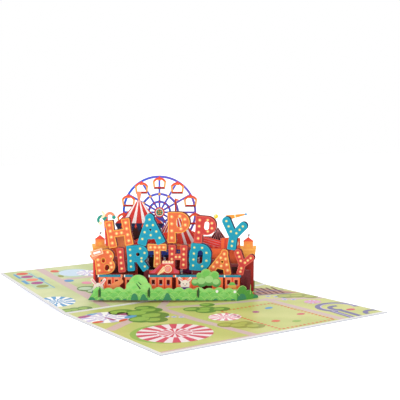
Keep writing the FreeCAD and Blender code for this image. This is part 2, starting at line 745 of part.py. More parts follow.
def tent_roof(middle, half, eave, apex):
    """Tent roof with hollow slopes, as three straight panels a side."""
    rise = apex - eave
    right = [(half, 0.0), (0.74 * half, 0.24 * rise), (0.42 * half, 0.55 * rise), (0.16 * half, 0.84 * rise),
             (0, rise)]
    left = [(-across, up) for across, up in reversed(right[:-1])]
    return polygon(*[(middle + across, eave + up) for across, up in right + left])


def add_tents():
    """Big tent with a scalloped eave, and behind it the marquee with a small tent beside it."""
    middle = size("tent_centre")
    eave = size("tent_eave")
    apex = size("tent_apex")
    half = size("tent_half_width")
    wall = size("tent_wall_half_width")
    depth = size("tent_layer")
    scallop = half / 7
    faces = [tent_roof(middle, half, eave, apex), box(middle - wall, foot, middle + wall, eave + 1),
             box(middle, foot, rib_places[2] + size("leg_width") / 2, size("plinth_height")),
             bar((middle, apex - 1.4), (middle, apex + 4.6), 1.6, 4.2), disc(middle, apex + 4.4, 2.1)]
    faces += [disc(middle + (2 * index - 6) * scallop, eave, scallop) for index in range(7)]
    add_sheet("big_tent", faces, rib_slots((1, 2), depth), depth)

    middle = size("marquee_centre")
    eave = size("marquee_eave")
    half = size("marquee_half_width")
    apex = size("marquee_apex")
    small = size("small_tent_centre")
    small_half = size("small_tent_half_width")
    depth = size("marquee_layer")
    faces = [
        tent_roof(middle, half, eave, apex), box(middle - 0.8 * half, foot, middle + 0.8 * half, eave + 1),
        box(middle - 0.7, apex - 2, middle + 0.7, apex + 10.0),
        polygon((middle, apex + 7.4), (middle + 3.4, apex + 8.7), (middle, apex + 10.0)),
        tent_roof(small, small_half, eave + 1.4, size("small_tent_apex")),
        box(small - 0.8 * small_half, foot, small + 0.8 * small_half, eave + 2),
        box(rib_places[1] - size("leg_width") / 2, foot, small, size("plinth_height")),
        box(middle, foot, small, size("tent_screen_top")),
    ]
    add_sheet("marquee", faces, rib_slots((1, 2), depth), depth)


def add_wheel():
    """Ferris wheel with its hanging cars and stand, cut with the fence and flap of the back layer."""
    across = size("wheel_across")
    up = size("wheel_height")
    radius = size("wheel_radius")
    width = size("ring_width")
    count = int(size("spoke_count"))
    rim = radius - width / 2
    faces = [ring(across, up, radius, width), ring(across, up, size("middle_ring_radius"), width),
             ring(across, up, size("inner_ring_radius"), width), disc(across, up, size("hub_radius"))]
    half = size("gondola_width") / 2
    fall = size("gondola_height")
    thick = size("gondola_bar")
    for index in range(count):
        angle = 2 * math.pi * index / count
        reach = (math.cos(angle), math.sin(angle))
        end = (across + rim * reach[0], up + rim * reach[1])
        faces.append(bar((across, up), end, size("spoke_width")))
        faces.append(disc(across + (size("middle_ring_radius") - width / 2) * reach[0],
                          up + (size("middle_ring_radius") - width / 2) * reach[1], 0.75 * width))
        # Car, hung upright from the rim: peaked roof, two leaning posts, floor
        roof = end[1] - 0.36 * fall
        floor = end[1] - fall + thick
        faces += [
            bar((end[0], end[1] + 0.4), (end[0], end[1] - 0.3 * fall), 0.8, 3.2),
            curl(end[0], roof - 3.2, half - 0.4, thick, 20.0, 160.0),
            bar((end[0] - half + thick / 2, roof), (end[0] - 0.74 * half, floor - 0.4), 0.8 * thick),
            bar((end[0] + half - thick / 2, roof), (end[0] + 0.74 * half, floor - 0.4), 0.8 * thick),
            box(end[0] - 0.8 * half, floor - thick, end[0] + 0.8 * half, floor),
        ]
    left = -size("flap_bend")
    fence = size("fence_height")
    spread = size("frame_spread")
    faces += [bar((across, up), (across + side * spread, fence - 1), size("frame_leg_width"))
              for side in (-1, 1)]
    faces.append(box(left, foot, size("hedge_reach"), fence - 2))
    pickets = int((size("hedge_reach") - left) / size("merlon_width") / 1.5)
    for index in range(pickets):
        edge = left + 1.5 * size("merlon_width") * index
        end = edge + size("merlon_width")
        faces.append(polygon((edge, fence - 2.5), (end, fence - 2.5), (end, fence),
                             ((edge + end) / 2, fence + 1.5), (edge, fence)))
    add_outer_layer("ferris_wheel", faces, tongue_slits((1, 2, 3)), outer - paper, 1, back_leaf)
    hub = [disc(across, up, size("hub_radius"))]
    add_sheet("wheel_hub", hub, (), outer - 2 * paper)


def check_and_export():
    """Every object recomputed, every piece a valid solid, then one file for each piece."""
    doc.recompute()
    for item in doc.Objects:
        if "Invalid" in item.State or "Error" in item.State:
            raise RuntimeError("failed object: " + item.Label)
    for piece in nodes:
        shape = piece.Shape
        if shape.isNull() or not shape.isValid() or not shape.Solids:
            raise RuntimeError("bad shape: " + piece.Label)
        print("%-16s solids %d volume %.1f" % (piece.Label, len(shape.Solids), shape.Volume))
        shape.exportStep("parts/%s.step" % piece.Label)


os.makedirs("parts", exist_ok=True)
add_card()
add_ribs()
add_hedge()
add_stalls()
add_greeting()
add_facade()
add_carousel()
add_tents()
add_wheel()
add_trim()
check_and_export()
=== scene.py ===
"""Looks for an open pop-up birthday card with a fairground scene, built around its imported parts."""

import json
import logging
import math
import random
from dataclasses import dataclass
from enum import Enum
from typing import Protocol

import bmesh
import bpy
from mathutils import Matrix, Vector
from mathutils.geometry import delaunay_2d_cdt

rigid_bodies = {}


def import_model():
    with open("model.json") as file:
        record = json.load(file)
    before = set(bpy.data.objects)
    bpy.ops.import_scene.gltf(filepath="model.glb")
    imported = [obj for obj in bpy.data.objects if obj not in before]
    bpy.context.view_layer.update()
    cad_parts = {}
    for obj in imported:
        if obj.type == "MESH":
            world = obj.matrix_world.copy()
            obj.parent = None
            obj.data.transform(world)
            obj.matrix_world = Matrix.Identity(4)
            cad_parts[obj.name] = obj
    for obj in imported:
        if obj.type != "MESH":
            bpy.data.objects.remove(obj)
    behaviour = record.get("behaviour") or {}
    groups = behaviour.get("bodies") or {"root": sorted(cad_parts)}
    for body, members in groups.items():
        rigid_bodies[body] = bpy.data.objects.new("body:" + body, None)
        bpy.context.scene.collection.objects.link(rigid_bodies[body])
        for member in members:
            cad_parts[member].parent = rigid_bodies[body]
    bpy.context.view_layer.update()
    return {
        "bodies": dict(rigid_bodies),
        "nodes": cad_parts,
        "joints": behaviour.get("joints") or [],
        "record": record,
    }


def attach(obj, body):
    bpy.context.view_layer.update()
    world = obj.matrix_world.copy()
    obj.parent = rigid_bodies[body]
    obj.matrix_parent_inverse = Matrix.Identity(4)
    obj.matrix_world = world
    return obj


LOG = logging.getLogger("popup_card")

MM = 0.001
Point = tuple[float, float]
Outline = list[Point]
Round = tuple[float, float, float]
Colour = tuple[float, float, float, float]

# Card and lattice, in millimetres
LEAF_DEPTH = 150.0
HALF_FOLD = 100.0
BOARD = 0.8
LINING = 0.3
LINING_MARGIN = 2.6
LINING_GAP = 2.4
BACK_RISE = 4.95
FOLD_Y = 0.245
LATTICE_TURN = 33.0
SHEET = 0.35
FOOT = 2.48
RIB_PLACES = (-61.05, -20.35, 20.35, 61.05)

# Front faces of the sheets, along the depth of the lattice
HEDGE_DEPTH = -20.2
STALL_DEPTH = -15.0
GREETING_DEPTH = -10.0
FACADE_DEPTH = -3.5
CAROUSEL_DEPTH = 2.5
TENT_DEPTH = 9.0
MARQUEE_DEPTH = 14.0
WHEEL_DEPTH = 19.85
HUB_DEPTH = 19.5

# Thickness of one print, how close two of its corners may come, and the corners of its large discs
INK_STEP = 0.03
JOIN_LIMIT = 1e-5
LARGE_DISC = 48

ACROSS_CARD = Vector((1, 0, 0))
ALONG_CARD = Vector((0, 1, 0))
UPWARD = Vector((0, 0, 1))

FRONT_LEAF = Matrix.Translation((0, FOLD_Y, BOARD + LINING))
BACK_LEAF = (Matrix.Translation((0, FOLD_Y, BOARD)) @ Matrix.Rotation(math.radians(BACK_RISE), 4, "X")
             @ Matrix.Translation((0, 0, LINING)))
LATTICE = (Matrix.Translation((0, FOLD_Y, BOARD + LINING / math.cos(math.radians(BACK_RISE / 2))))
           @ Matrix.Rotation(math.radians(BACK_RISE / 2), 4, "X")
           @ Matrix.Rotation(math.radians(-LATTICE_TURN), 4, "Z"))


def linear(code: str) -> Colour:
    """Colour in scene values from a six-digit screen colour.

    Args:
        code: Red, green and blue as hexadecimal digits.

    Returns:
        Red, green, blue and a full alpha, in scene-linear values.
    """
    channels = [int(code[place:place + 2], 16) / 255 for place in (0, 2, 4)]
    low = 0.04045
    values = [c / 12.92 if c <= low else ((c + 0.055) / 1.055) ** 2.4 for c in channels]
    return (*values, 1.0)


# Shader maths

class Value:
    """Number in a shader, with arithmetic that adds Math nodes."""

    def __init__(self, paint: "Paint", socket: bpy.types.NodeSocket) -> None:
        """Keeps the tree's painter and the output socket."""
        self.paint = paint
        self.socket = socket

    def _math(self, operation: str, *terms: "Value | float") -> "Value":
        """Adds one Math node on the given terms."""
        made = self.paint.node("ShaderNodeMath", {"operation": operation}, dict(enumerate(terms)))
        return Value(self.paint, made.outputs[0])

    def __add__(self, other: "Value | float") -> "Value":
        """Sum."""
        return self._math("ADD", self, other)

    __radd__ = __add__

    def __sub__(self, other: "Value | float") -> "Value":
        """Difference."""
        return self._math("SUBTRACT", self, other)

    def __rsub__(self, other: float) -> "Value":
        """Difference from a number."""
        return self._math("SUBTRACT", other, self)

    def __mul__(self, other: "Value | float") -> "Value":
        """Product."""
        return self._math("MULTIPLY", self, other)

    __rmul__ = __mul__

    def __truediv__(self, other: "Value | float") -> "Value":
        """Quotient."""
        return self._math("DIVIDE", self, other)

    def __gt__(self, other: "Value | float") -> "Value":
        """1 where this is greater."""
        return self._math("GREATER_THAN", self, other)

    def __lt__(self, other: "Value | float") -> "Value":
        """1 where this is less."""
        return self._math("LESS_THAN", self, other)

    def size(self) -> "Value":
        """Absolute value."""
        return self._math("ABSOLUTE", self)

    def part(self) -> "Value":
        """What is left above the whole number below."""
        return self._math("FRACT", self)

    def clamped(self) -> "Value":
        """Limited to 0 to 1."""
        settings = {"operation": "ADD", "use_clamp": True}
        return Value(self.paint, self.paint.node("ShaderNodeMath", settings, {0: self, 1: 0.0}).outputs[0])


@dataclass(frozen=True)
class CardSurface:
    """How printed card looks close up: mottled ink, paper fibres and an uneven gloss."""

    mottle_scale: float = 900.0
    mottle_detail: float = 3.0
    mottle_start: float = 0.36
    mottle_gain: float = 3.4
    mottle_share: float = 0.5
    pale_share: float = 0.03
    deep_share: float = 0.1
    fibre_scale: float = 3800.0
    fibre_detail: float = 4.0
    fibre_height: float = 0.0001
    gloss_drift: float = 0.22
    specular: float = 0.22
    coat_roughness: float = 0.35


class Paint:
    """Node tree of one material, with the few node recipes that all finishes share."""

    def __init__(self, name: str) -> None:
        """Starts an empty material with its output and surface shader.

        Args:
            name: Name of the material.
        """
        self.material = bpy.data.materials.new(name)
        self.material.use_nodes = True
        self.tree = self.material.node_tree
        self.tree.nodes.clear()
        self.out = self.tree.nodes.new("ShaderNodeOutputMaterial")
        self.surface = self.tree.nodes.new("ShaderNodeBsdfPrincipled")
        self.tree.links.new(self.surface.outputs[0], self.out.inputs[0])

    def node(self, kind: str, settings: dict | None = None, inputs: dict | None = None) -> bpy.types.Node:
        """Adds a node.

        Args:
            kind: Blender's type name.
            settings: Properties of the node, set first.
            inputs: Values, or outputs to link, by socket name or number.

        Returns:
            The new node.
        """
        made = self.tree.nodes.new(kind)
        for key, value in (settings or {}).items():
            setattr(made, key, value)
        for key, value in (inputs or {}).items():
            self.feed(made.inputs[key], value)
        return made

    def feed(self, socket: bpy.types.NodeSocket, value: object) -> None:
        """Links an output to a socket, or sets the socket's own value.

        Args:
            socket: Input of a node.
            value: Shader number, output to link, or plain value.
        """
        if isinstance(value, Value):
            value = value.socket
        if isinstance(value, bpy.types.NodeSocket):
            self.tree.links.new(value, socket)
        else:
            socket.default_value = value

    def place(self) -> bpy.types.NodeSocket:
        """Position on the object, in metres of the card's frame."""
        return self.node("ShaderNodeTexCoord").outputs["Object"]

    def along(self, vector: bpy.types.NodeSocket, direction: Vector, offset: float = 0.0) -> Value:
        """Length of a vector along a direction, less an offset.

        Args:
            vector: Output that carries the vector.
            direction: Direction to measure along, whose length scales the result.
            offset: Number taken from the result.

        Returns:
            The length as a shader number.
        """
        dot = self.node("ShaderNodeVectorMath", {"operation": "DOT_PRODUCT"}, {0: vector, 1: direction})
        return Value(self, dot.outputs["Value"]) - offset

    def lattice(self) -> tuple[Value, Value]:
        """Place on the upright sheets.

        Returns:
            Across and up, in millimetres.
        """
        origin = LATTICE.translation * MM
        position = self.place()
        found = []
        for axis in (0, 2):
            direction = LATTICE.col[axis].to_3d() / MM
            found.append(self.along(position, direction, origin.dot(direction)))
        return found[0], found[1]

    def noise(self, scale: float, detail: float = 2.0) -> Value:
        """Noise around one half, with features of a given number to the metre."""
        inputs = {"Vector": self.place(), "Scale": scale, "Detail": detail}
        return Value(self, self.node("ShaderNodeTexNoise", None, inputs).outputs["Fac"])

    def facing(self, direction: Vector) -> Value:
        """How far the surface faces a direction, from -1 to 1."""
        return self.along(self.node("ShaderNodeNewGeometry").outputs["True Normal"], direction)

    def mix(self, share: Value | float, first: object, second: object) -> bpy.types.NodeSocket:
        """Colour between two colours.

        Args:
            share: How much of the second colour.
            first: Colour, or output with one.
            second: Colour, or output with one.

        Returns:
            Output with the mixed colour.
        """
        made = self.node("ShaderNodeMix", {"data_type": "RGBA"})
        for name, value in (("Factor_Float", share), ("A_Color", first), ("B_Color", second)):
            self.feed(next(s for s in made.inputs if s.identifier == name), value)
        return next(s for s in made.outputs if s.identifier == "Result_Color")

    def fade(self, low: float, high: float, first: str, second: str) -> bpy.types.NodeSocket:
        """Colour that turns into another one up the sheet.

        Args:
            low: Height where it starts to turn, in millimetres.
            high: Height where it has turned.
            first: Colour code of the lower colour.
            second: Colour code of the upper colour.

        Returns:
            Output with the colour.
        """
        _, up = self.lattice()
        return self.mix(((up - low) / (high - low)).clamped(), linear(first), linear(second))

    def finish(self, colour: object, roughness: float, grain: float,
               sheen: float = 0.0) -> bpy.types.Material:
        """Feeds the surface: ink with slight mottling, paper fibres and an uneven gloss.

        Args:
            colour: Colour, or output with one.
            roughness: Mean roughness.
            grain: Strength of the fibres in the surface.
            sheen: Coat of varnish over the ink, 0 to 1.

        Returns:
            The finished material.
        """
        card = CardSurface()
        mottle = self.noise(card.mottle_scale, card.mottle_detail)
        pale = self.mix(card.pale_share, colour, (1.0, 1.0, 1.0, 1.0))
        deep = self.mix(card.deep_share, colour, (0.02, 0.01, 0.02, 1.0))
        speckled = self.mix(((mottle - card.mottle_start) * card.mottle_gain).clamped(), deep, pale)
        self.feed(self.surface.inputs["Base Color"], self.mix(card.mottle_share, colour, speckled))
        fibres = self.noise(card.fibre_scale, card.fibre_detail)
        gloss = ((fibres - 0.5) * card.gloss_drift + roughness).clamped()
        self.feed(self.surface.inputs["Roughness"], gloss)
        bump = self.node("ShaderNodeBump", None,
                         {"Strength": grain, "Distance": card.fibre_height, "Height": fibres})
        self.feed(self.surface.inputs["Normal"], bump.outputs[0])
        self.surface.inputs["Specular IOR Level"].default_value = card.specular
        self.surface.inputs["Coat Weight"].default_value = sheen
        self.surface.inputs["Coat Roughness"].default_value = card.coat_roughness
        return self.material


# Finishes

class Finish(Protocol):
    """Whatever makes the material of a sheet."""

    def material(self) -> bpy.types.Material:
        """Makes the material."""


@dataclass(frozen=True)
class Ink:
    """Printed ink in one colour, or fading up the sheet into a second one."""

    name: str
    colour: str
    second: str = ""
    low: float = 0.0
    high: float = 1.0
    roughness: float = 0.5
    grain: float = 0.25
    varnish: float = 0.06

    def material(self) -> bpy.types.Material:
        """Makes the material.

        Returns:
            Material in the ink's colours.
        """
        paint = Paint(self.name)
        colour: object = linear(self.colour)
        if self.second:
            colour = paint.fade(self.low, self.high, self.colour, self.second)
        return paint.finish(colour, self.roughness, self.grain, self.varnish)


@dataclass(frozen=True)
class SheetFinish:
    """Printed card sheet: ink on both faces, and the pale core of the card along its cut edges."""

    name: str
    colour: str
    second: str = ""
    low: float = 0.0
    high: float = 1.0
    back: str = ""
    core: str = "E9DCCB"
    roughness: float = 0.55
    grain: float = 0.3
    varnish: float = 0.08

    def tone(self, paint: Paint) -> object:
        """Colour of the faces.

        Args:
            paint: Painter of the material.

        Returns:
            Colour, or output with one.
        """
        if not self.second:
            return linear(self.colour)
        return paint.fade(self.low, self.high, self.colour, self.second)

    def material(self) -> bpy.types.Material:
        """Makes the material.

        Returns:
            Material whose faces are inked and whose edges show the card.
        """
        paint = Paint(self.name)
        facing = paint.facing(LATTICE.col[1].to_3d())
        colour = self.tone(paint)
        if self.back:
            colour = paint.mix(facing > 0.5, colour, linear(self.back))
        flap = paint.facing(ALONG_CARD)
        face = ((facing.size() > 0.6) + (flap.size() > 0.9)).clamped()
        inked = paint.mix(face, linear(self.core), colour)
        return paint.finish(inked, self.roughness, self.grain, self.varnish)


@dataclass(frozen=True)
class Roof:
    """Striped roof of a tent, in millimetres across and up its sheet."""

    middle: float
    apex: float
    eave: float
    half: float
    stripes: float
    crowding: float
    shade: float


@dataclass(frozen=True)
class TentFinish(SheetFinish):
    """Sheet with tent roofs whose stripes run down from the apex, over walls in one colour."""

    roofs: tuple[Roof, ...] = ()
    pale: str = "FFFAF8"
    crown: str = "EFB9BC"
    crown_depth: float = 3.0
    shade: str = "6E1519"
    wall: str = "3A1612"
    overhang: float = 2.5

    def tone(self, paint: Paint) -> object:
        """Colour of the faces: stripes in the roofs, and the wall below the eaves.

        Args:
            paint: Painter of the material.

        Returns:
            Output with the colour.
        """
        across, up = paint.lattice()
        colour: object = linear(self.wall)
        for roof in self.roofs:
            run = across - roof.middle
            fall = roof.apex - up
            spread = roof.half / (roof.apex - roof.eave)
            angle = run / (fall + 2.0) / spread
            even = angle * (1.0 - angle * roof.crowding)
            band = (even * roof.stripes * 0.5 + 0.3).part() > 0.6
            striped = paint.mix(band, linear(self.colour), linear(self.pale))
            # Painted shade: the stripes darken towards each roof's sides, by the roof's shade share.
            shaded = paint.mix((run.size() / roof.half * roof.shade).clamped(), striped, linear(self.shade))
            crowned = paint.mix((1.0 - fall / self.crown_depth).clamped(), shaded, linear(self.crown))
            inside = (up > roof.eave) * (run.size() < roof.half + self.overhang)
            colour = paint.mix(inside, colour, crowned)
        return colour


@dataclass(frozen=True)
class WheelFinish(SheetFinish):
    """Wheel in blue that turns violet to the right, above a green picket fence."""

    violet: str = "7458BC"
    turn_start: float = -44.0
    turn_width: float = 64.0
    fence: str = "4F9E4B"
    fence_top: float = 14.1
    stand: str = "20265A"
    stand_top: float = 38.0

    def tone(self, paint: Paint) -> object:
        """Colour of the faces: wheel, stand and fence.

        Args:
            paint: Painter of the material.

        Returns:
            Output with the colour.
        """
        across, up = paint.lattice()
        share = ((across - self.turn_start) / self.turn_width).clamped()
        wheel = paint.mix(share, linear(self.colour), linear(self.violet))
        standing = paint.mix(up < self.stand_top, wheel, linear(self.stand))
        return paint.mix(up < self.fence_top, standing, linear(self.fence))


@dataclass(frozen=True)
class HedgeFinish(SheetFinish):
    """Hedge leaves: soft patches in two light greens, deeper at the foot, with painted shade on the flap."""

    foot: str = "66B854"
    foot_fade: float = 12.0
    # Painted shade: darker green for the flap, which faces away from the light.
    flap: str = "4F9E3C"

    def tone(self, paint: Paint) -> object:
        """Colour of the faces.

        Args:
            paint: Painter of the material.

        Returns:
            Output with the colour.
        """
        _, up = paint.lattice()
        patch = ((paint.noise(160.0) - 0.42) * 5.0).clamped()
        leaves = paint.mix(patch, linear(self.colour), linear(self.second))
        lifted = paint.mix((up / self.foot_fade).clamped(), linear(self.foot), leaves)
        # Painted shade: the flap, facing along the card, takes the darker green.
        return paint.mix(paint.facing(ALONG_CARD).size() > 0.97, lifted, linear(self.flap))


@dataclass(frozen=True)
class LawnFinish:
    """Lining printed as a lawn seen from above, with a plain paper edge."""

    name: str
    colour: str = "BEC46A"
    second: str = "CFCF7C"
    paper: str = "F0EEE8"

    def material(self) -> bpy.types.Material:
        """Makes the material.

        Returns:
            Material in two greens that drift into each other.
        """
        paint = Paint(self.name)
        drift = ((paint.noise(22.0) - 0.4) * 4.0).clamped()
        lawn = paint.mix(drift, linear(self.colour), linear(self.second))
        return paint.finish(paint.mix(paint.facing(UPWARD) > 0.7, linear(self.paper), lawn), 0.42, 0.18, 0.2)


@dataclass(frozen=True)
class BoardFinish:
    """White cover board, whose outside is printed blue with a cream frame on each leaf."""

    name: str = "cover_board_ink"
    outside: str = "23409B"
    cream: str = "F2D9A8"
    # Painted shade in part: the side faces are the board's cut edge, in a grey that also paints the thin shade
    # line along it.
    edge: str = "B4B6BE"
    paper: str = "DEDDDC"
    frame_side: float = 93.0
    frame_near: float = 7.0
    frame_far: float = 143.0
    frame_line: float = 2.0

    def material(self) -> bpy.types.Material:
        """Makes the material.

        Returns:
            Material that is plain inside and at the edges and printed outside.
        """
        paint = Paint(self.name)
        position = paint.place()
        across = paint.along(position, ACROSS_CARD / MM).size()
        depth = paint.along(position, ALONG_CARD / MM).size()
        side, near, far, line = self.frame_side, self.frame_near, self.frame_far, self.frame_line
        frame = ((across > side - line) * (across < side) * (depth < far)
                 + (depth > far - line) * (depth < far) * (across < side)
                 + (depth > near) * (depth < near + line) * (across < side)).clamped()
        printed = paint.mix(frame, linear(self.outside), linear(self.cream))
        rise = paint.facing(UPWARD)
        # The side faces take the edge grey, partly painted shade.
        plain = paint.mix(rise > 0.7, linear(self.edge), linear(self.paper))
        return paint.finish(paint.mix(rise < -0.7, plain, printed), 0.5, 0.25, 0.1)


def lawn_ink(name: str, colour: str) -> Ink:
    """Ink on the linings, which are smoother than the cut sheets."""
    return Ink(name, colour, roughness=0.42, grain=0.15)


class Inks(Enum):
    """Inks of the prints."""

    ORANGE = Ink("ink_orange", "E2683A")
    ORANGE_RIM = Ink("ink_orange_rim", "F2A444")
    RED = Ink("ink_red", "C83836")
    RED_RIM = Ink("ink_red_rim", "DA5A48")
    TEAL = Ink("ink_teal", "0094B4")
    TEAL_RIM = Ink("ink_teal_rim", "10A6BE")
    GOLD_RIM = Ink("ink_gold_rim", "EFB055")
    NAVY = Ink("ink_navy", "10284F")
    BULB = Ink("ink_bulb", "F8E08E", roughness=0.4)
    GLOW_ORANGE = Ink("ink_glow_orange", "F59058")
    GLOW_RED = Ink("ink_glow_red", "E26450")
    GLOW_TEAL = Ink("ink_glow_teal", "2CA6B4")
    LEAF_LINE = Ink("ink_leaf_line", "A4DA74")
    LEAF_DARK = Ink("ink_leaf_dark", "3B8A62")
    # Painted shade, in the hedge's slots and the bush's slit.
    LEAF_SHADE = Ink("ink_leaf_painted_shade", "2C5A2E")
    LEAF_MID = Ink("ink_leaf_mid", "74C45A")
    LEAF_LIGHT = Ink("ink_leaf_light", "A5D987")
    WHITE = Ink("ink_white", "FAF8F4")
    BLUSH = Ink("ink_blush", "EEDFDF")
    CREAM = Ink("ink_cream", "FBE3B8")
    GOLD = Ink("ink_gold", "F5A640", "FBBC60", 34.0, 52.0)
    FLAME = Ink("ink_flame", "FC6C38")
    EMBER = Ink("ink_ember", "4A1614", "FF7038", 27.0, 36.0)
    AMBER = Ink("ink_amber", "F29A44", "EF7A3C", 44.0, 52.0)
    SCARLET = Ink("ink_scarlet", "DC342C", "E64A34", 5.0, 45.0)
    # Painted light: brighter red for the castle's left wall.
    CRIMSON = Ink("ink_crimson_painted_light", "F0362E", "F2483A", 5.0, 45.0)
    JESTER = Ink("ink_jester", "16907E")
    DEEP_RED = Ink("ink_deep_red", "9C1B17", "B9251C", 5.0, 45.0)
    MAROON = Ink("ink_maroon", "5A1420")
    DARK = Ink("ink_dark", "2B1110")
    BLUE = Ink("ink_blue", "2E60E2")
    PALE_BLUE = Ink("ink_pale_blue", "C9DCEB")
    SKY = Ink("ink_sky", "5A9BCB")
    PINK = Ink("ink_pink", "F0A0A6")
    SALMON = Ink("ink_salmon", "F08A66")
    PURPLE = Ink("ink_purple", "5B2A86")
    LILAC = Ink("ink_lilac", "C9BEE0")
    AWNING = Ink("ink_awning", "0C86A0")
    PATH = lawn_ink("ink_path", "CFB4AE")
    RAIL = lawn_ink("ink_rail", "6F6899")
    LAWN_LEAF = lawn_ink("ink_lawn_leaf", "93B54C")
    LAWN_LEAF_DARK = lawn_ink("ink_lawn_leaf_dark", "5F8432")
    OLIVE = lawn_ink("ink_olive", "93983A")
    MOSS = lawn_ink("ink_moss", "AEB650")
    ROSE = lawn_ink("ink_rose", "D24A60")
    BLOSSOM = lawn_ink("ink_blossom", "E78BA4")
    MAGENTA = lawn_ink("ink_magenta", "A63A7E")
    BRICK = lawn_ink("ink_brick", "D9512B")
    PLANK = lawn_ink("ink_plank", "B07A62")
    MIST = lawn_ink("ink_mist", "B9CFA9")


# Outlines in the plane of a sheet

def box(left: float, bottom: float, right: float, top: float) -> Outline:
    """Upright rectangle."""
    return [(left, bottom), (right, bottom), (right, top), (left, top)]


def arc(across: float, up: float, radius: float, first: float, last: float, count: int = 24) -> Outline:
    """Points along an arc, with its angles in degrees."""
    steps = [math.radians(first + (last - first) * index / count) for index in range(count + 1)]
    return [(across + radius * math.cos(step), up + radius * math.sin(step)) for step in steps]


def disc(across: float, up: float, radius: float, count: int = 28) -> Outline:
    """Round outline."""
    return arc(across, up, radius, 0, 360 - 360 / count, count - 1)


def oval(across: float, up: float, wide: float, high: float, tilt: float = 0.0) -> Outline:
    """Oval outline with its half sizes, tilted in degrees."""
    return turned([(x * wide, y * high) for x, y in disc(0, 0, 1)], across, up, tilt)


def curl(across: float, up: float, radius: float, width: float, first: float, last: float) -> Outline:
    """Stroke along an arc, with its angles in degrees."""
    return (arc(across, up, radius + width / 2, first, last)
            + arc(across, up, radius - width / 2, last, first))


def bar(start: Point, end: Point, width: float, end_width: float | None = None) -> Outline:
    """Straight stroke with square ends, which may taper.

    Args:
        start: Middle of the first end.
        end: Middle of the second end.
        width: Width at the start.
        end_width: Width at the end, where it differs.

    Returns:
        The stroke's four corners.
    """
    end_width = width if end_width is None else end_width
    run = Vector((end[0] - start[0], end[1] - start[1])).normalized()
    side = Vector((-run.y, run.x))
    first, last = Vector(start), Vector(end)
    corners = (first + side * width / 2, last + side * end_width / 2,
               last - side * end_width / 2, first - side * width / 2)
    return [(corner.x, corner.y) for corner in corners]


def pill(start: Point, end: Point, width: float) -> Outline:
    """Straight stroke with round ends, grown from a very thin one."""
    thin = 0.02
    return grown(bar(start, end, thin), width / 2 - thin / 2)


def wound(outline: Outline) -> Outline:
    """Outline wound anticlockwise."""
    area = sum(a[0] * b[1] - b[0] * a[1] for a, b in zip(outline, outline[1:] + outline[:1]))
    return outline if area > 0 else outline[::-1]


def grown(outline: Outline, radius: float) -> Outline:
    """Convex outline grown by a radius, with round corners.

    Args:
        outline: Corners of a convex outline, either way round.
        radius: How far its edges move out.

    Returns:
        The grown outline.
    """
    corners = wound(outline)
    if radius <= 0:
        return corners
    count = len(corners)
    widest_step, slack = 0.45, 1e-9
    points: Outline = []
    for index, (x, y) in enumerate(corners):
        before, after = corners[index - 1], corners[(index + 1) % count]
        first = math.atan2(y - before[1], x - before[0]) - math.pi / 2
        last = math.atan2(after[1] - y, after[0] - x) - math.pi / 2
        while last < first - slack:
            last += 2 * math.pi
        steps = max(1, int((last - first) / widest_step))
        angles = [first + (last - first) * step / steps for step in range(steps + 1)]
        points += [(x + radius * math.cos(angle), y + radius * math.sin(angle)) for angle in angles]
    return points


def turned(outline: Outline, across: float, up: float, tilt: float) -> Outline:
    """Outline drawn about the origin, tilted and moved to its place."""
    cos, sin = math.cos(math.radians(tilt)), math.sin(math.radians(tilt))
    return [(across + x * cos - y * sin, up + x * sin + y * cos) for x, y in outline]


def wedges(across: float, up: float, inner: float, outer: float, count: int,
           twist: float = 0.0) -> list[Outline]:
    """Every second sector of a ring, as on a striped canopy seen from above.

    Args:
        across: Middle of the ring.
        up: Middle of the ring.
        inner: Inner radius.
        outer: Outer radius.
        count: Number of sectors.
        twist: Turn of the first sector, in degrees.

    Returns:
        Outlines of the sectors.
    """
    span = 180 / count
    return [arc(across, up, outer, twist + 2 * index * span, twist + (2 * index + 1) * span, 4)
            + arc(across, up, inner, twist + (2 * index + 1) * span, twist + 2 * index * span, 4)
            for index in range(count)]


def line_of(start: Point, end: Point, count: int) -> list[Point]:
    """Evenly spaced points from one end to the other."""
    return [(start[0] + (end[0] - start[0]) * index / (count - 1),
             start[1] + (end[1] - start[1]) * index / (count - 1)) for index in range(count)]


def dashed(start: Point, end: Point, count: int, width: float) -> list[Outline]:
    """Dashed line, whose gaps are as long as its dashes."""
    marks = line_of(start, end, 2 * count + 1)
    return [bar(first, last, width) for first, last in zip(marks[::2], marks[1::2])]


# Prints

@dataclass(frozen=True)
class Plane:
    """Plane that prints lie on: its own frame, in millimetres, with the print facing out of it."""

    frame: Matrix
    slot: str

    def point(self, across: float, up: float, out: float) -> Vector:
        """Place in the card's frame, in metres."""
        return (self.frame @ Vector((across, up, out))) * MM


def front_of(depth: float, slot: str) -> Plane:
    """Front face of an upright sheet."""
    axes = Matrix(((1, 0, 0, 0), (0, 0, -1, depth), (0, 1, 0, 0), (0, 0, 0, 1)))
    return Plane(LATTICE @ axes, slot)


def back_of(depth: float, slot: str) -> Plane:
    """Back face of an upright sheet."""
    axes = Matrix(((1, 0, 0, 0), (0, 0, 1, depth + SHEET), (0, 1, 0, 0), (0, 0, 0, 1)))
    return Plane(LATTICE @ axes, slot)


def leaf_plane(frame: Matrix) -> Plane:
    """Upper face of a lining."""
    return Plane(frame, "printed_lawn")


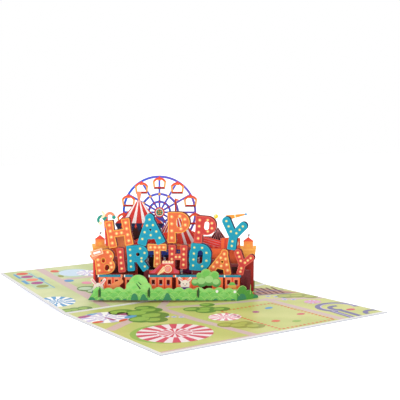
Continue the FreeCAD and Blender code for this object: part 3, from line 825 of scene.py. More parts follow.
class Press:
    """Prints flat shapes on the planes, each as a very thin closed plate."""

    def __init__(self) -> None:
        """Starts with no materials made."""
        self.materials: dict[str, bpy.types.Material] = {}
        self.count = 0

    def ink(self, choice: Inks) -> bpy.types.Material:
        """Material of an ink, made once.

        Args:
            choice: The ink.

        Returns:
            Its material.
        """
        ink = choice.value
        if ink.name not in self.materials:
            self.materials[ink.name] = ink.material()
        return self.materials[ink.name]

    def plate(self, name: str, plane: Plane, ink: Inks, shapes: list[Outline], layer: int = 1,
              holes: list[Outline] | None = None) -> bpy.types.Object:
        """Prints shapes that join into one plate.

        Args:
            name: Name of the piece.
            plane: Where it lies.
            ink: Its ink.
            shapes: Outlines that are joined.
            layer: 1 on the bare sheet, and one more for each print below.
            holes: Outlines that are cut out.

        Returns:
            The new piece.
        """
        holes = holes or []
        points: list[Vector] = []
        faces: list[list[int]] = []
        for outline in map(wound, shapes + holes):
            faces.append(list(range(len(points), len(points) + len(outline))))
            points += [Vector(point) for point in outline]
        verts, _, tris, _, _, owners = delaunay_2d_cdt(points, [], faces, 1, JOIN_LIMIT)
        kept = [tri for tri, owner in zip(tris, owners)
                if owner and all(index < len(shapes) for index in owner)]
        mesh = bmesh.new()
        used = sorted({index for tri in kept for index in tri})
        height = layer * INK_STEP
        low = {index: mesh.verts.new(plane.point(*verts[index], height - INK_STEP)) for index in used}
        high = {index: mesh.verts.new(plane.point(*verts[index], height)) for index in used}
        for tri in kept:
            mesh.faces.new([high[index] for index in tri])
            mesh.faces.new([low[index] for index in reversed(tri)])
        edges = [edge for tri in kept for edge in zip(tri, [*tri[1:], tri[0]])]
        known = set(edges)
        for first, second in edges:
            if (second, first) not in known:
                mesh.faces.new([low[first], low[second], high[second], high[first]])
        bmesh.ops.recalc_face_normals(mesh, faces=mesh.faces[:])
        data = bpy.data.meshes.new(name)
        mesh.to_mesh(data)
        mesh.free()
        data.materials.append(self.ink(ink))
        piece = bpy.data.objects.new(name, data)
        bpy.context.scene.collection.objects.link(piece)
        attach(piece, "root")
        self.count += 1
        LOG.info("printed %s, %d faces", name, len(data.polygons))
        return piece


def dress(frame: dict, node: str, finish: Finish) -> None:
    """Gives a card sheet its finish.

    Args:
        frame: The loaded frame.
        node: Name of the sheet.
        finish: What makes its material.
    """
    data = frame["nodes"][node].data
    data.materials.clear()
    data.materials.append(finish.material())
    LOG.info("dressed %s", node)


# Sub-assemblies

@dataclass
class Lawn:
    """Cover board and both linings, printed as a fairground plan seen from above."""

    press: Press
    path_width: float = 6.5
    canopy_radius: float = 27.0
    ring: tuple[Point, ...] = ((1, -70), (51, -70), (51, -144), (1, -144))
    ring_dashes: tuple[int, ...] = (13, 18, 13, 18)
    flowers: tuple[Point, ...] = ((-42, -60), (-38, -64), (-34, -68), (66, -46), (70, -52), (72, -60),
                                  (68, -66), (74, -70))

    def build(self, frame: dict) -> None:
        """Dresses the card and prints its plan.

        Args:
            frame: The loaded frame.
        """
        dress(frame, "cover", BoardFinish())
        dress(frame, "front_lining", LawnFinish("lawn_front"))
        dress(frame, "back_lining", LawnFinish("lawn_back", "B8C47E", "D4D8A0"))
        self.front(leaf_plane(FRONT_LEAF))
        self.back(leaf_plane(BACK_LEAF))

    def lining(self, back: bool) -> tuple[float, float, float, float]:
        """Edges of a lining, in its leaf's frame.

        Args:
            back: Whether it is the back lining.

        Returns:
            Left, near, right and far edges.
        """
        half = HALF_FOLD - LINING_MARGIN
        far = LEAF_DEPTH - LINING_MARGIN
        return (-half, LINING_GAP, half, far) if back else (-half, -far, half, -LINING_GAP)

    def outside(self, back: bool) -> list[Outline]:
        """Four strips around a lining, which trim what runs over its edge.

        Args:
            back: Whether it is the back lining.

        Returns:
            The strips.
        """
        left, near, right, far = self.lining(back)
        wide = 60.0
        return [box(left - wide, near - wide, left, far + wide),
                box(right, near - wide, right + wide, far + wide),
                box(left, near - wide, right, near), box(left, far, right, far + wide)]

    def clump(self, name: str, plane: Plane, tops: list[Round], inks: tuple[Inks, Inks],
              trim: list[Outline]) -> None:
        """Bush seen from above: darker ground, lighter crowns and darker rims.

        Args:
            name: Start of the names of the pieces.
            plane: The lining's face.
            tops: Middle and radius of each crown.
            inks: Dark and light ink.
            trim: What is cut away.
        """
        dark, light = inks
        layer, spread, shift, lift = 3, 1.3, 0.2, 0.15
        crowns = [(x - shift * radius, y + lift * radius, radius) for x, y, radius in tops]
        self.press.plate(name + "_shade", plane, dark,
                         [disc(x, y, radius + spread) for x, y, radius in tops], layer, trim)
        self.press.plate(name + "_crown", plane, light,
                         [oval(x, y, 0.78 * radius, 0.66 * radius) for x, y, radius in crowns],
                         layer + 1, trim)
        self.press.plate(name + "_rims", plane, dark,
                         [curl(x, y, 0.72 * radius, 0.7, 200, 345) for x, y, radius in crowns],
                         layer + 2, trim)

    def canopy(self, name: str, plane: Plane, place: Round, inks: tuple[Inks, Inks],
               trim: list[Outline], stripes: int = 14, layer: int = 2) -> None:
        """Striped canopy seen from above, with a second striped ring inside it.

        Args:
            name: Start of the names of the pieces.
            plane: The lining's face.
            place: Its middle and radius.
            inks: Pale and strong ink.
            trim: What is cut away.
            stripes: Number of stripes in each ring.
            layer: Layer of its ground.
        """
        pale, strong = inks
        x, y, radius = place
        hub, inner, outer = 0.02 * radius, 0.45 * radius, 0.47 * radius
        self.press.plate(name + "_ground", plane, pale, [disc(x, y, radius, LARGE_DISC)], layer, trim)
        self.press.plate(name + "_stripes", plane, strong,
                         wedges(x, y, outer, radius, stripes, 4) + wedges(x, y, hub, inner, stripes, 14),
                         layer + 1, trim)

    def front(self, plane: Plane) -> None:
        """Plan on the front leaf.

        Args:
            plane: The lining's face.
        """
        trim = self.outside(False)
        wide = self.path_width
        left, near, _, _ = self.lining(False)
        self.press.plate("front_paths", plane, Inks.PATH, [
            bar((-97, -72), (-64, -50), 8.5), bar((-64, -50), (-30, -29), wide),
            bar((-30, -29), (-30, -80), wide), bar((-30, -80), (-23, -150), wide),
            bar((-30, -29), (2, -42), wide), bar((2, -42), (57, -57), wide),
            bar((56.5, -52), (56.5, -150), wide), bar((57, -57), (100, -80), wide),
            box(left, near, -4, near + 2.6), disc(-30, -29, wide / 2), disc(57, -57, wide / 2 + 0.5),
            disc(-64, -50, wide / 2 + 0.5), bar((-30, -29), (-2, 2), wide),
        ], 1, trim)
        self.press.plate("front_shade", plane, Inks.LAWN_LEAF,
                         [disc(-66, -106, self.canopy_radius + 1.5, LARGE_DISC)], 1, trim)
        self.canopy("front_canopy", plane, (-63.6, -107.6, self.canopy_radius), (Inks.BLUSH, Inks.ROSE), trim)
        self.swirls(plane, trim)
        green, olive = (Inks.LAWN_LEAF_DARK, Inks.LAWN_LEAF), (Inks.OLIVE, Inks.MOSS)
        self.clump("front_bush", plane, [(-62, -24, 9), (-52, -36, 11), (-47, -50, 10), (-60, -56, 10),
                                         (-40, -32, 8), (-54, -64, 8), (-40, -22, 7)], green, trim)
        self.clump("path_bush", plane, [(-12, -50, 6.5), (-7, -61, 7), (6, -63, 6), (6, -43, 5),
                                        (-2, -55, 6)], green, trim)
        self.clump("olive_bush", plane, [(-21, -110, 6.0), (-14, -117, 7.4), (-7, -125, 6.0),
                                         (-8, -114, 4.6)], olive, trim)
        self.clump("edge_bush", plane, [(79, -55, 7), (88, -60, 7), (94, -69, 6)], olive, trim)
        self.canopy("pink_canopy", plane, (-7.8, -88.1, 12.5), (Inks.WHITE, Inks.BLOSSOM), trim, 11)
        self.canopy("small_canopy", plane, (80, -87, 7.0), (Inks.LILAC, Inks.BLOSSOM), trim, 9)
        self.show_ring(plane, trim)
        self.toy_line(plane, trim)
        self.press.plate("flower_bed", plane, Inks.LILAC,
                         [disc(x, y, 2.4) for x, y in self.flowers], 2, trim)
        self.press.plate("flower_hearts", plane, Inks.SKY,
                         [disc(x, y, 1.0) for x, y in self.flowers], 3, trim)
        self.stage(plane, trim)

    def swirls(self, plane: Plane, trim: list[Outline]) -> None:
        """Canopy at the left edge, with bright dots around it.

        Args:
            plane: The lining's face.
            trim: What is cut away.
        """
        self.canopy("swirl_canopy", plane, (-80, -33, 19.0), (Inks.WHITE, Inks.LILAC), trim, 10)
        self.press.plate("swirl_dots", plane, Inks.MAGENTA,
                         [oval(-93, -21, 6.5, 3.4, 10), oval(-64, -30, 4, 6, 0),
                          bar((-81, -33), (-79, -46), 1.0, 3.4)], 4, trim)
        self.press.plate("swirl_sky", plane, Inks.SKY,
                         [oval(-64, -43, 6.0, 3.4, 20), oval(-84, -17, 4.4, 2.2, 0)], 4, trim)
        self.press.plate("swirl_gold", plane, Inks.BRICK,
                         [oval(-74, -50, 5.0, 2.4, 30), oval(-92, -44, 4.4, 3.0, 0)], 4, trim)

    def show_ring(self, plane: Plane, trim: list[Outline]) -> None:
        """Dashed show ring with bright dots in it.

        Args:
            plane: The lining's face.
            trim: What is cut away.
        """
        sides = zip(self.ring, self.ring[1:] + self.ring[:1], self.ring_dashes)
        self.press.plate("show_ring_dashes", plane, Inks.BRICK,
                         [dash for start, end, count in sides for dash in dashed(start, end, count, 2.2)],
                         2, trim)
        for name, ink, spot in (("sky", Inks.SKY, (37.8, -83.4, 4.2, 2.6, 20)),
                                ("magenta", Inks.MAGENTA, (21, -88.7, 3.2, 2.8, 60)),
                                ("rose", Inks.ROSE, (43.5, -115.5, 3.4, 2.8, 0)),
                                ("brick", Inks.BRICK, (14.1, -122.1, 3.4, 3.0, 0)),
                                ("leaf", Inks.LAWN_LEAF, (26.1, -131.5, 3.6, 2.8, 0))):
            self.press.plate("confetti_" + name, plane, ink, [oval(*spot)], 2)

    def toy_line(self, plane: Plane, trim: list[Outline]) -> None:
        """Looped toy rails with their pale middle line and a station.

        Args:
            plane: The lining's face.
            trim: What is cut away.
        """
        self.press.plate("toy_rails", plane, Inks.RAIL,
                         [curl(82, -114, 15, 5.0, -30, 230), curl(81, -117, 7.0, 4.2, 60, 250),
                          bar((68.9, -122), (66, -148), 5.0), bar((76.2, -122), (74, -148), 4.2),
                          curl(92, -146, 8, 4.0, 40, 180)], 2, trim)
        self.press.plate("toy_sleepers", plane, Inks.LILAC,
                         [curl(82, -114, 13, 1.0, -30, 230), bar((68.9, -122), (66, -148), 1.0)], 3, trim)
        self.press.plate("toy_station", plane, Inks.ROSE, [oval(84, -127, 4.0, 3.0, 0)], 2, trim)

    def stage(self, plane: Plane, trim: list[Outline]) -> None:
        """Stage of planks to the right of the lattice, with two rails across it.

        Args:
            plane: The lining's face.
            trim: What is cut away.
        """
        board_step = 4.6
        self.press.plate("stage_ground", plane, Inks.PLANK, [[(58, -4), (84, -12), (97, -50), (60, -38)]],
                         1, trim)
        self.press.plate("stage_boards", plane, Inks.MAROON,
                         [bar((70 + board_step * index, -6 - 2 * index),
                              (62 + board_step * index, -34 - 2 * index), 1.9)
                          for index in range(6)], 2, trim)
        self.press.plate("stage_edge", plane, Inks.RAIL,
                         [bar((60, -36), (90, -48), 2.0), bar((66, -22), (94, -32), 1.6)], 3, trim)

    def back(self, plane: Plane) -> None:
        """Plan on the back leaf.

        Args:
            plane: The lining's face.
        """
        trim = self.outside(True)
        self.press.plate("back_paths", plane, Inks.PATH, [
            box(-66, 0, -58, 150), box(-66, 96, 100, 102), box(-2, 96, 4, 150), box(58, 40, 64, 100),
            box(58, 36, 100, 42),
        ], 1, trim)
        self.canopy("blue_canopy", plane, (-92, 34, 15.5), (Inks.WHITE, Inks.SKY), trim, 11)
        self.toy_train(plane, trim)
        self.press.plate("pond_ring", plane, Inks.MIST, [oval(-40, 118, 19, 17)], 2, trim)
        self.press.plate("pond", plane, Inks.PALE_BLUE, [oval(-38, 119, 15, 13)], 3, trim)
        self.canopy("pastel_canopy", plane, (-27, 112, 11.0), (Inks.WHITE, Inks.LILAC), trim, 9, 4)
        self.press.plate("pastel_orange", plane, Inks.SALMON,
                         [arc(-27, 112, 10, -70, -20, 6) + [(-27, 112)]], 6, trim)
        for name, ink, spot in (("brick", Inks.BRICK, (-52.6, 132, 4.0, 4.6)),
                                ("sky", Inks.SKY, (-55, 92.9, 4.4, 4.2)),
                                ("rose", Inks.BLOSSOM, (-44, 79, 4.6, 4.6)),
                                ("olive", Inks.OLIVE, (-55, 112, 2.6, 4.0))):
            self.press.plate("lawn_dot_" + name, plane, ink, [oval(*spot)], 4, trim)
        green = (Inks.LAWN_LEAF_DARK, Inks.LAWN_LEAF)
        self.clump("back_bush", plane, [(-52, 60, 8), (-44, 54, 8), (-50, 50, 6)],
                   (Inks.LAWN_LEAF_DARK, Inks.MIST), trim)
        self.clump("fold_bush", plane, [(-88, 5, 5), (-80, 5, 5), (-94, 5, 5)], green, trim)
        self.clump("far_bush", plane, [(20, 128, 9), (30, 122, 10), (42, 128, 8), (33, 134, 8)], green, trim)
        self.clump("side_bush", plane, [(84, 20, 8), (92, 26, 7), (78, 12, 6)],
                   (Inks.OLIVE, Inks.LAWN_LEAF), trim)
        self.canopy("far_canopy", plane, (74, 122, 17.0), (Inks.WHITE, Inks.ROSE), trim, 12)
        self.canopy("side_canopy", plane, (32, 70, 14.0), (Inks.WHITE, Inks.BLOSSOM), trim, 11)
        self.press.plate("back_flowers", plane, Inks.LILAC,
                         [disc(8 + 6 * index, 110 + 2 * (index % 2), 2.2) for index in range(5)], 2, trim)

    def toy_train(self, plane: Plane, trim: list[Outline]) -> None:
        """Toy train on its bed at the left edge of the back leaf.

        Args:
            plane: The lining's face.
            trim: What is cut away.
        """
        car_step = 12.6
        self.press.plate("train_bed", plane, Inks.MIST, [[(-90, 142), (-74, 138), (-76, 75), (-92, 78)]],
                         2, trim)
        self.press.plate("train_sides", plane, Inks.SKY,
                         [bar((-91, 137), (-91, 120), 2.4), bar((-92, 112), (-92, 98), 3.4),
                          bar((-75, 116), (-75, 104), 3.4), bar((-77, 136), (-76, 76), 0.9)], 3, trim)
        for index, ink in enumerate((Inks.BRICK, Inks.MAGENTA, Inks.SALMON, Inks.MAGENTA, Inks.OLIVE)):
            self.press.plate("train_car_%d" % (index + 1), plane, ink,
                             [oval(-83.5, 136 - car_step * index, 5.6, 4.6)], 4, trim)


@dataclass
class Hedge:
    """Clipped hedge in front, with its round bush and its glued flap."""

    press: Press
    left: float = -70.5
    right: float = 53.0
    height: float = 11.6
    rise: float = 1.7
    radius: float = 4.7
    pitch: float = 8.3
    second_row: float = 3.4
    third_row: float = 7.0
    mounds: tuple[Point, ...] = (
        (-66.6, 3.1), (-58.5, 2.0), (-51.0, 1.5), (-45.4, 2.2), (-39.5, 2.0), (-23.6, 3.6), (-14.6, 1.6),
        (-10.2, 1.6), (-4.2, 4.0), (4.4, 2.0), (11.0, 1.8), (19.6, 1.6), (28.6, 1.5), (35.6, 2.2),
        (43.6, 1.6), (50.0, 2.0))

    def build(self, frame: dict) -> None:
        """Dresses the hedge and prints its leaves.

        Args:
            frame: The loaded frame.
        """
        dress(frame, "hedge", HedgeFinish("hedge_leaves", "82D46C", "A2E282"))
        plane = front_of(HEDGE_DEPTH, "green_card")
        count = int((self.right - self.left - self.radius) / self.pitch)
        below = [box(-200, -20, 200, FOOT)]
        lines: list[Outline] = []
        mids: list[Outline] = []
        for index in range(count):
            across = self.left + 2 * self.radius + index * self.pitch
            up = self.height + self.rise - self.radius + 0.3 * (-1) ** index
            lines.append(curl(across, up, self.radius - 0.7, 0.55, 25, 155))
            lines.append(curl(across + self.pitch / 2, up - self.second_row, self.radius - 0.2,
                              0.45, 20, 160))
            lines.append(curl(across, up - self.third_row, self.radius - 0.4, 0.45, 25, 155))
            mids.append(arc(across, up - 1.5, self.radius - 1.5, 15, 165, 12))
        bush = 0.4 * self.left
        for x, y, radius in ((bush, 15.9, 8.0), (bush - 5.5, 13.7, 4.7), (bush + 6.2, 12.9, 4.7)):
            lines.append(curl(x, y, radius - 0.8, 0.5, 30, 150))
        lines.append(curl(bush - 1.0, 13.5, 5.4, 0.5, 20, 160))
        self.press.plate("hedge_mid_leaves", plane, Inks.LEAF_MID, mids, 1, below)
        self.press.plate("hedge_leaf_lines", plane, Inks.LEAF_LINE, lines, 2, below)
        mounds = [arc(x, FOOT - 0.6, radius, 0, 180, 14) for x, radius in self.mounds]
        tall = [oval(x, FOOT, wide, high)
                for x, wide, high in ((-31.4, 3.0, 5.8), (-4.2, 2.6, 6.2), (-24.0, 2.4, 5.2))]
        self.press.plate("hedge_mounds", plane, Inks.LEAF_DARK, mounds + tall, 3, below)
        self.press.plate("hedge_mound_rims", plane, Inks.LEAF_LIGHT,
                         [curl(x, FOOT - 0.6, radius + 0.5, 0.5, 10, 170) for x, radius in (
                             (-4.2, 5.6), (35.6, 3.4), (11.0, 3.0), (-31.4, 5.8), (-45.4, 3.2),
                             (-58.5, 3.0))], 2, below)
        # Painted shade: dark ovals where the ribs' slots cut the hedge.
        self.press.plate("hedge_slot_painted_shade", plane, Inks.LEAF_SHADE,
                         [oval(place + 1.1, 9.0, 0.85, 4.4) for place in RIB_PLACES[:3]], 3, below)
        self.press.plate("hedge_flowers", plane, Inks.WHITE,
                         [disc(36.7, 10.2, 1.2), disc(51.4, 9.8, 1.1)], 4)
        # Painted shade: dark strokes where a slit cuts the round bush.
        self.press.plate("hedge_bush_slit_painted_shade", plane, Inks.LEAF_SHADE,
                         [bar((bush - 1.6, 16.6), (bush + 1.6, 12.0), 0.5, 1.2),
                          bar((bush - 0.2, 18.0), (bush + 2.4, 15.4), 0.4, 0.8)], 3)
        self.flap()

    def flap(self) -> None:
        """Darker mounds on the flap, on its face towards the front."""
        turn = math.radians(LATTICE_TURN)
        across = self.right * math.cos(turn) + HEDGE_DEPTH * math.sin(turn)
        line = self.right * math.sin(turn) - HEDGE_DEPTH * math.cos(turn)
        upright = LATTICE @ Matrix.Rotation(turn, 4, "Z")
        axes = Matrix(((1, 0, 0, across), (0, 0, -1, -line), (0, 1, 0, 0), (0, 0, 0, 1)))
        plane = Plane(upright @ axes, "green_card")
        low = 2.2
        below = [box(-50, -20, 60, low)]
        self.press.plate("flap_mounds", plane, Inks.LEAF_DARK,
                         [oval(5.2, low, 4.6, 5.4), arc(19.6, low, 2.8, 0, 180, 12)], 1, below)
        self.press.plate("flap_lines", plane, Inks.LEAF_LINE,
                         [curl(5.4, 9.4, 4.8, 0.5, 20, 160), bar((13.9, 6.0), (14.2, 14.2), 0.7, 0.4),
                          curl(17.8, 6.0, 2.2, 0.4, 30, 150)], 2, below)


@dataclass
class Stalls:
    """Row of stalls with awnings and windows, and the small pieces glued on their faces."""

    press: Press
    counter: float = 9.5
    eave: float = 20.8
    awning: float = 2.0
    overhang: float = 0.8
    window_wide: float = 2.6
    window_high: float = 4.0
    frame_wide: float = 0.8
    carriages: tuple[tuple[float, float, int], ...] = (
        (-61.5, -43.8, 3), (-39.7, -33.9, 1), (-19.3, -0.6, 3), (2.7, 22.6, 3), (32.6, 41.7, 1),
        (43.4, 55.8, 2))

    def build(self, frame: dict) -> None:
        """Dresses and prints the stalls.

        Args:
            frame: The loaded frame.
        """
        dress(frame, "stalls", SheetFinish("stall_walls", "E85026", "FF7440", 2.0, 20.0))
        plane = front_of(STALL_DEPTH, "orange_card")
        awnings, ends, frames, holes, posts, sills = [], [], [], [], [], []
        sill = (self.counter + self.eave - self.window_high) / 2 + 1.5
        half, rim = self.window_wide / 2, self.frame_wide
        for start, end, count in self.carriages:
            awnings.append(box(start - self.overhang, self.eave, end + self.overhang, self.eave + self.awning))
            ends.append(box(start - self.overhang, self.eave, start - self.overhang + 1.0,
                            self.eave + self.awning))
            sills.append(box(start, self.counter, end, self.counter + 1.9))
            for index in range(count):
                middle = start + (index + 0.5) * (end - start) / count
                head = sill + self.window_high
                frames.append(box(middle - half - rim, sill - rim, middle + half + rim, head + 0.2))
                frames.append(arc(middle, head + 0.1, half + rim, 0, 180, 12))
                holes.append(box(middle - half, sill, middle + half, head))
                if index:
                    edge = start + index * (end - start) / count
                    posts.append(box(edge - 0.45, self.counter, edge + 0.45, self.eave))
        self.press.plate("stall_posts", plane, Inks.SCARLET, posts, 1)
        self.press.plate("stall_sills", plane, Inks.GOLD_RIM, sills, 1)
        self.press.plate("stall_window_frames", plane, Inks.SALMON, frames, 2, holes)
        self.press.plate("stall_awnings", plane, Inks.AWNING, awnings, 1)
        self.press.plate("stall_awning_ends", plane, Inks.WHITE, ends, 2)
        self.press.plate("stall_banner_pole", plane, Inks.SALMON, [bar((-43.7, 16.0), (-42.2, 23.0), 1.5)], 2)
        self.press.plate("stall_banner", plane, Inks.GLOW_ORANGE,
                         [oval(-46.6, 15.0, 4.8, 2.2, 22), disc(-43.0, 17.2, 1.9),
                          oval(-49.6, 13.2, 2.6, 1.7, 20)], 4)
        self.press.plate("stall_crate", plane, Inks.GOLD_RIM, [box(46.0, 11.8, 52.8, 14.6)], 4)
        self.press.plate("stall_apples", plane, Inks.LEAF_MID, [arc(49.4, 14.2, 2.7, 0, 180, 14)], 5)
        self.goods(plane, sill)
        self.kiosk(frame)
        self.animals(frame)
        self.shrubs(frame)

    def goods(self, plane: Plane, sill: float) -> None:
        """Bright goods at the window sills, printed together by colour.

        Args:
            plane: Face of the stalls.
            sill: Height of the window sills.
        """
        inks = (Inks.PURPLE, Inks.PINK, Inks.SKY)
        places = [start + (index + 0.5) * (end - start) / count
                  for start, end, count in self.carriages for index in range(count)]
        for number, ink in enumerate(inks):
            self.press.plate("stall_goods_%d" % (number + 1), plane, ink,
                             [arc(middle, sill - 0.6, 1.0, 0, 180, 10) for middle in places[number::3]], 3)

    def kiosk(self, frame: dict) -> None:
        """Kiosk roof with its scalloped edge, and the ice cream on it.

        Args:
            frame: The loaded frame.
        """
        dress(frame, "kiosk_roof", SheetFinish("kiosk_card", "C22A26", "DC4434", 20.0, 34.0))
        plane = front_of(STALL_DEPTH - SHEET, "red_card")
        eave = self.eave
        self.press.plate("kiosk_base", plane, Inks.MAROON, [box(-19.4, eave + 2.1, 5.4, eave + 3.2)], 1)
        self.press.plate("kiosk_slopes", plane, Inks.ROSE,
                         [[(-18.9, eave + 3.6), (-15.0, eave + 3.6), (-9.4, eave + 10.8),
                           (-10.4, eave + 10.8)],
                          [(1.0, eave + 3.6), (4.8, eave + 3.6), (4.8, eave + 5.2), (0.2, eave + 9.0)]], 1)
        self.press.plate("kiosk_scallops", plane, Inks.CREAM,
                         [disc(-7.6 + 2.4 * index, eave + 12.9, 1.0) for index in range(4)], 2)
        self.press.plate("kiosk_scallop_band", plane, Inks.PINK,
                         [box(-8.6, eave + 11.2, 0.4, eave + 12.7)], 1)
        dress(frame, "ice_cream", SheetFinish("ice_cream_card", "F9DDAE"))
        plane = front_of(STALL_DEPTH - 2 * SHEET, "cream_card")
        scoop = (-4.0, eave + 7.2)
        self.press.plate("scoop_rim", plane, Inks.CREAM, [disc(*scoop, 3.4)], 1)
        self.press.plate("scoop", plane, Inks.SALMON, [disc(*scoop, 2.8)], 2)
        self.press.plate("scoop_swirl", plane, Inks.PINK,
                         [curl(*scoop, 1.7, 0.6, 20, 290), disc(*scoop, 0.7)], 3)
        self.press.plate("cone_lines", plane, Inks.ORANGE_RIM,
                         [bar((-11.4, eave + 3.6), (-6.6, eave + 8.4), 0.35),
                          bar((-11.0, eave + 2.9), (-5.4, eave + 6.2), 0.35)], 1)

    def animals(self, frame: dict) -> None:
        """Two plain rabbits with scarves.

        Args:
            frame: The loaded frame.
        """
        for name, x, y, head, lean, lift in (("left_rabbit", -61.8, 11.6, 4.3, 5.2, 2.8),
                                             ("middle_rabbit", 10.2, 14.8, 3.8, 4.6, 1.4)):
            dress(frame, name, SheetFinish(name + "_card", "F8E9DC"))
            plane = front_of(STALL_DEPTH - SHEET, "cream_card")
            ears = [pill((x + side * 2.2, y + head / 2 + 1.5),
                         (x + side * lean * 0.97, y + head + lift - 0.5), 1.2) for side in (-1, 1)]
            self.press.plate(name + "_ears", plane, Inks.PINK, ears, 1)
            self.press.plate(name + "_scarf", plane, Inks.PURPLE,
                             [box(x - head, y - head - 1.1, x + head, y - head / 2 - 0.4)], 1)
            self.press.plate(name + "_eyes", plane, Inks.DARK,
                             [oval(x + side * 1.5, y + 0.5, 0.36, 0.5) for side in (-1, 1)], 1)
            self.press.plate(name + "_nose", plane, Inks.ROSE, [oval(x, y - 0.6, 0.5, 0.36)], 1)

    def shrubs(self, frame: dict) -> None:
        """Round bushes beside the stalls.

        Args:
            frame: The loaded frame.
        """
        dress(frame, "bushes", SheetFinish("bush_card", "4E9A48", "8ECB6A", 12.0, 24.0))
        plane = front_of(STALL_DEPTH - SHEET, "green_card")
        low = ((18.6, 16.8, 3.1), (24.0, 17.2, 4.6), (30.4, 18.6, 5.0), (36.2, 16.6, 4.0))
        high = ((27.6, 23.6, 4.4), (34.6, 22.4, 3.8), (22.2, 22.2, 2.6))
        self.press.plate("bush_crowns", plane, Inks.LEAF_LIGHT,
                         [oval(x - 0.3, y + 0.6, 0.72 * radius, 0.6 * radius) for x, y, radius in low], 1)
        self.press.plate("bush_leaves", plane, Inks.LEAF_MID,
                         [oval(x, y + 0.4, 0.7 * radius, 0.55 * radius, 25) for x, y, radius in high], 1)


class Tint(Enum):
    """Colour sets of the letters: rim, face and glow around the bulbs."""

    ORANGE = (Inks.ORANGE_RIM, Inks.ORANGE, Inks.GLOW_ORANGE)
    RED = (Inks.RED_RIM, Inks.RED, Inks.GLOW_RED)
    TEAL = (Inks.TEAL_RIM, Inks.TEAL, Inks.GLOW_TEAL)
    GOLD = (Inks.GOLD_RIM, Inks.ORANGE, Inks.GLOW_ORANGE)


class Sign(Enum):
    """Capitals that the greeting is made of."""

    A = "A"
    B = "B"
    D = "D"
    H = "H"
    I = "I"
    P = "P"
    R = "R"
    T = "T"
    Y = "Y"


Drawing = tuple[list[Outline], list[Outline], list[Point]]


def both_sides(points: list[Point]) -> list[Point]:
    """Points and their mirror images about the upright through the origin."""
    return points + [(-x, y) for x, y in points]


